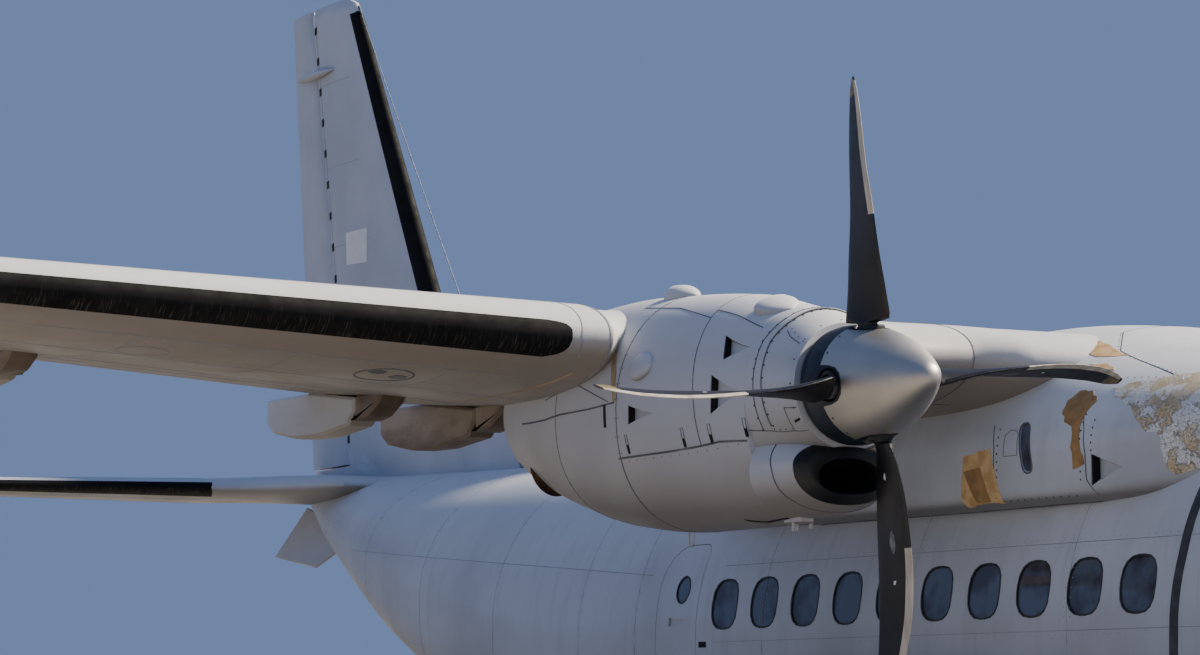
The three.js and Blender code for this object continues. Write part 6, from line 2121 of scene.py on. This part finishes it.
def build_stage():
    size = chosen()
    floor = Stock().block((-FLOOR_HALF, -FLOOR_HALF, -FLOOR_DEPTH), (FLOOR_HALF, FLOOR_HALF, 0.0))
    floor = floor.piece("studio_floor", "floor_concrete_trowelled")
    data = bpy.data.cameras.new("studio_camera")
    data.sensor_width, data.sensor_fit = 36.0, "HORIZONTAL"
    data.lens, data.clip_end = size.lens, 400.0
    camera = bpy.data.objects.new("studio_camera", data)
    yaw, level = CAMERA_YAW, math.cos(CAMERA_PITCH)
    ahead = Vector((-math.cos(yaw) * level, math.sin(yaw) * level, math.sin(CAMERA_PITCH)))
    turn = ahead.to_track_quat("-Z", "Y").to_matrix().to_4x4()
    camera.matrix_world = Matrix.Translation(CAMERA_PLACE) @ turn
    bpy.context.scene.collection.objects.link(camera)
    bpy.context.scene.camera = camera

    world = bpy.data.worlds.new("studio_sky")
    world.use_nodes = True
    sky = world.node_tree.nodes["Background"]
    sky.inputs["Color"].default_value = linear(SKY_COLOUR)
    sky.inputs["Strength"].default_value = size.sky_strength
    bpy.context.scene.world = world
    lamp_data = bpy.data.lights.new("studio_key", "SUN")
    lamp_data.energy, lamp_data.angle = size.key_strength, KEY_SPREAD
    lamp_data.color = linear(KEY_COLOUR)[:3]
    lamp = bpy.data.objects.new("studio_key", lamp_data)
    lamp.rotation_euler = Vector(KEY_WAY).to_track_quat("-Z", "Y").to_euler()
    bpy.context.scene.collection.objects.link(lamp)


# The add-on


def length(name, note, default, low, high):
    limits = {"default": default, "min": low, "max": high}
    return FloatProperty(name=name, description=note, unit="LENGTH", precision=4, **limits)


def colour(name, note, code):
    limits = {"default": linear(code), "min": 0, "max": 1}
    return FloatVectorProperty(name=name, description=note, subtype="COLOR", size=4, **limits)


class TransportSizes(bpy.types.PropertyGroup):
    """Sizes that a user may change"""

    window_width: length("Window width", "Width of each cabin window", 0.34, 0.2, 0.42)
    window_height: length("Window height", "Height of each cabin window", 0.34, 0.2, 0.42)
    window_count: IntProperty(name="Windows", description="Cabin windows on each side", default=10, min=1, max=10)
    seal_width: length("Seal width", "Width of the rubber seal round each cabin window", 0.012, 0.004, 0.03)
    seam_width: length("Seam width", "Width of the sealant in an ordinary skin joint", 0.004, 0.001, 0.01)
    rivet_radius: length("Rivet radius", "Radius of an ordinary rivet head", 0.004, 0.002, 0.008)
    stripe_width: length("Stripe width", "Width of the dark stripe in the propellers' plane", 0.078, 0.02, 0.2)
    lens: FloatProperty(
        name="Lens", description="Focal length of the camera", unit="CAMERA", default=114.58, min=35
    )
    key_strength: FloatProperty(name="Key light", description="Strength of the warm key light", default=9.6, min=0)
    sky_strength: FloatProperty(name="Sky light", description="Strength of the cool sky light", default=0.5, min=0)


class TransportColours(bpy.types.PropertyGroup):
    """Colours that a user may change"""

    fuselage: colour("Fuselage", "Paint of the fuselage and the sponsons", "b9c0cb")
    wings: colour("Wings", "Paint of the wings and flaps", "bcbfc4")
    nacelles: colour("Nacelles", "Paint of the engine cowls", "b9bdc5")
    tail: colour("Tail", "Paint of the fin and the tailplane", "bac0cc")
    # the windows' colour is painted shade of the cabin behind the glass
    glass: colour("Window glass", "Tint of the cabin windows", "525c6e")
    blades: colour("Blades", "Paint of the propeller blades", "121318")
    stripe: colour("Stripe", "Enamel of the stripe in the propellers' plane", "232831")
    tyres: colour("Tyres", "Rubber of the tyres", "1d1e20")


def chosen():
    """The sizes that the user has set."""
    return bpy.context.scene.transport_sizes


class TRANSPORT_OT_stage(bpy.types.Operator):
    """Make the floor, the camera and the lights"""

    bl_idname = "transport.stage"
    bl_label = "Stage"

    def execute(self, context):
        build_stage()
        return {"FINISHED"}


class TRANSPORT_OT_fuselage(bpy.types.Operator):
    """Make the fuselage skin, the side doors and all the glazing"""

    bl_idname = "transport.fuselage"
    bl_label = "Fuselage"

    def execute(self, context):
        build_fuselage()
        return {"FINISHED"}


class TRANSPORT_OT_rear_doors(bpy.types.Operator):
    """Make the loading ramp and the upper rear door"""

    bl_idname = "transport.rear_doors"
    bl_label = "Ramp and rear door"

    def execute(self, context):
        build_rear_doors()
        return {"FINISHED"}


class TRANSPORT_OT_hold(bpy.types.Operator):
    """Make the frames and the floor tracks of the hold"""

    bl_idname = "transport.hold"
    bl_label = "Hold"

    def execute(self, context):
        build_hold()
        return {"FINISHED"}


class TRANSPORT_OT_roof_fairing(bpy.types.Operator):
    """Make the fairing that carries the wing, with its worn paint"""

    bl_idname = "transport.roof_fairing"
    bl_label = "Roof fairing"

    def execute(self, context):
        build_roof_fairing()
        return {"FINISHED"}


class TRANSPORT_OT_wing_centre(bpy.types.Operator):
    """Make the wing's centre section and the inner flaps"""

    bl_idname = "transport.wing_centre"
    bl_label = "Wing centre"

    def execute(self, context):
        build_wing_centre()
        return {"FINISHED"}


class TRANSPORT_OT_wings(bpy.types.Operator):
    """Make the outer wings with their flaps, ailerons and boots"""

    bl_idname = "transport.wings"
    bl_label = "Outer wings"

    def execute(self, context):
        build_wings()
        return {"FINISHED"}


class TRANSPORT_OT_nacelles(bpy.types.Operator):
    """Make the cowls, the intakes and the exhaust pipes"""

    bl_idname = "transport.nacelles"
    bl_label = "Nacelles"

    def execute(self, context):
        build_nacelles()
        return {"FINISHED"}


class TRANSPORT_OT_propellers(bpy.types.Operator):
    """Make the blades, the spinners and the backplates"""

    bl_idname = "transport.propellers"
    bl_label = "Propellers"

    def execute(self, context):
        build_propellers()
        return {"FINISHED"}


class TRANSPORT_OT_tail(bpy.types.Operator):
    """Make the fin, the rudder, the tailplanes, the elevators and the ventral fins"""

    bl_idname = "transport.tail"
    bl_label = "Tail"

    def execute(self, context):
        build_tail()
        return {"FINISHED"}


class TRANSPORT_OT_gear(bpy.types.Operator):
    """Make the sponsons, the legs, the fork and the wheels"""

    bl_idname = "transport.gear"
    bl_label = "Landing gear"

    def execute(self, context):
        build_sponsons()
        build_main_gear()
        build_nose_gear()
        return {"FINISHED"}


class TRANSPORT_OT_fittings(bpy.types.Operator):
    """Make the fuselage's joints, rivets, stripe, aerials, probes and lamps"""

    bl_idname = "transport.fittings"
    bl_label = "Fittings"

    def execute(self, context):
        build_fittings()
        return {"FINISHED"}


OPERATORS = (
    TRANSPORT_OT_stage,
    TRANSPORT_OT_fuselage,
    TRANSPORT_OT_rear_doors,
    TRANSPORT_OT_hold,
    TRANSPORT_OT_roof_fairing,
    TRANSPORT_OT_wing_centre,
    TRANSPORT_OT_wings,
    TRANSPORT_OT_nacelles,
    TRANSPORT_OT_propellers,
    TRANSPORT_OT_tail,
    TRANSPORT_OT_gear,
    TRANSPORT_OT_fittings,
)


class TRANSPORT_PT_builder(bpy.types.Panel):
    """Sizes, colours and the steps that build the aircraft"""

    bl_label = "Turboprop transport"
    bl_idname = "TRANSPORT_PT_builder"
    bl_space_type = "VIEW_3D"
    bl_region_type = "UI"
    bl_category = "Transport"

    def draw(self, context):
        for title, group, kind in (
            ("Sizes", context.scene.transport_sizes, TransportSizes),
            ("Colours", context.scene.transport_colours, TransportColours),
        ):
            part = self.layout.box()
            part.label(text=title)
            for name in kind.__annotations__:
                part.prop(group, name)
        steps = self.layout.box()
        steps.label(text="Pieces, in order")
        for step in OPERATORS:
            steps.operator(step.bl_idname)


CLASSES = (TransportSizes, TransportColours, *OPERATORS, TRANSPORT_PT_builder)


def register():
    for cls in CLASSES:
        bpy.utils.register_class(cls)
    bpy.types.Scene.transport_sizes = PointerProperty(type=TransportSizes)
    bpy.types.Scene.transport_colours = PointerProperty(type=TransportColours)


def unregister():
    del bpy.types.Scene.transport_colours
    del bpy.types.Scene.transport_sizes
    for cls in reversed(CLASSES):
        bpy.utils.unregister_class(cls)


def main():
    register()
    for step in OPERATORS:
        getattr(bpy.ops.transport, step.bl_idname.split(".")[1])()


if __name__ == "__main__":
    main()
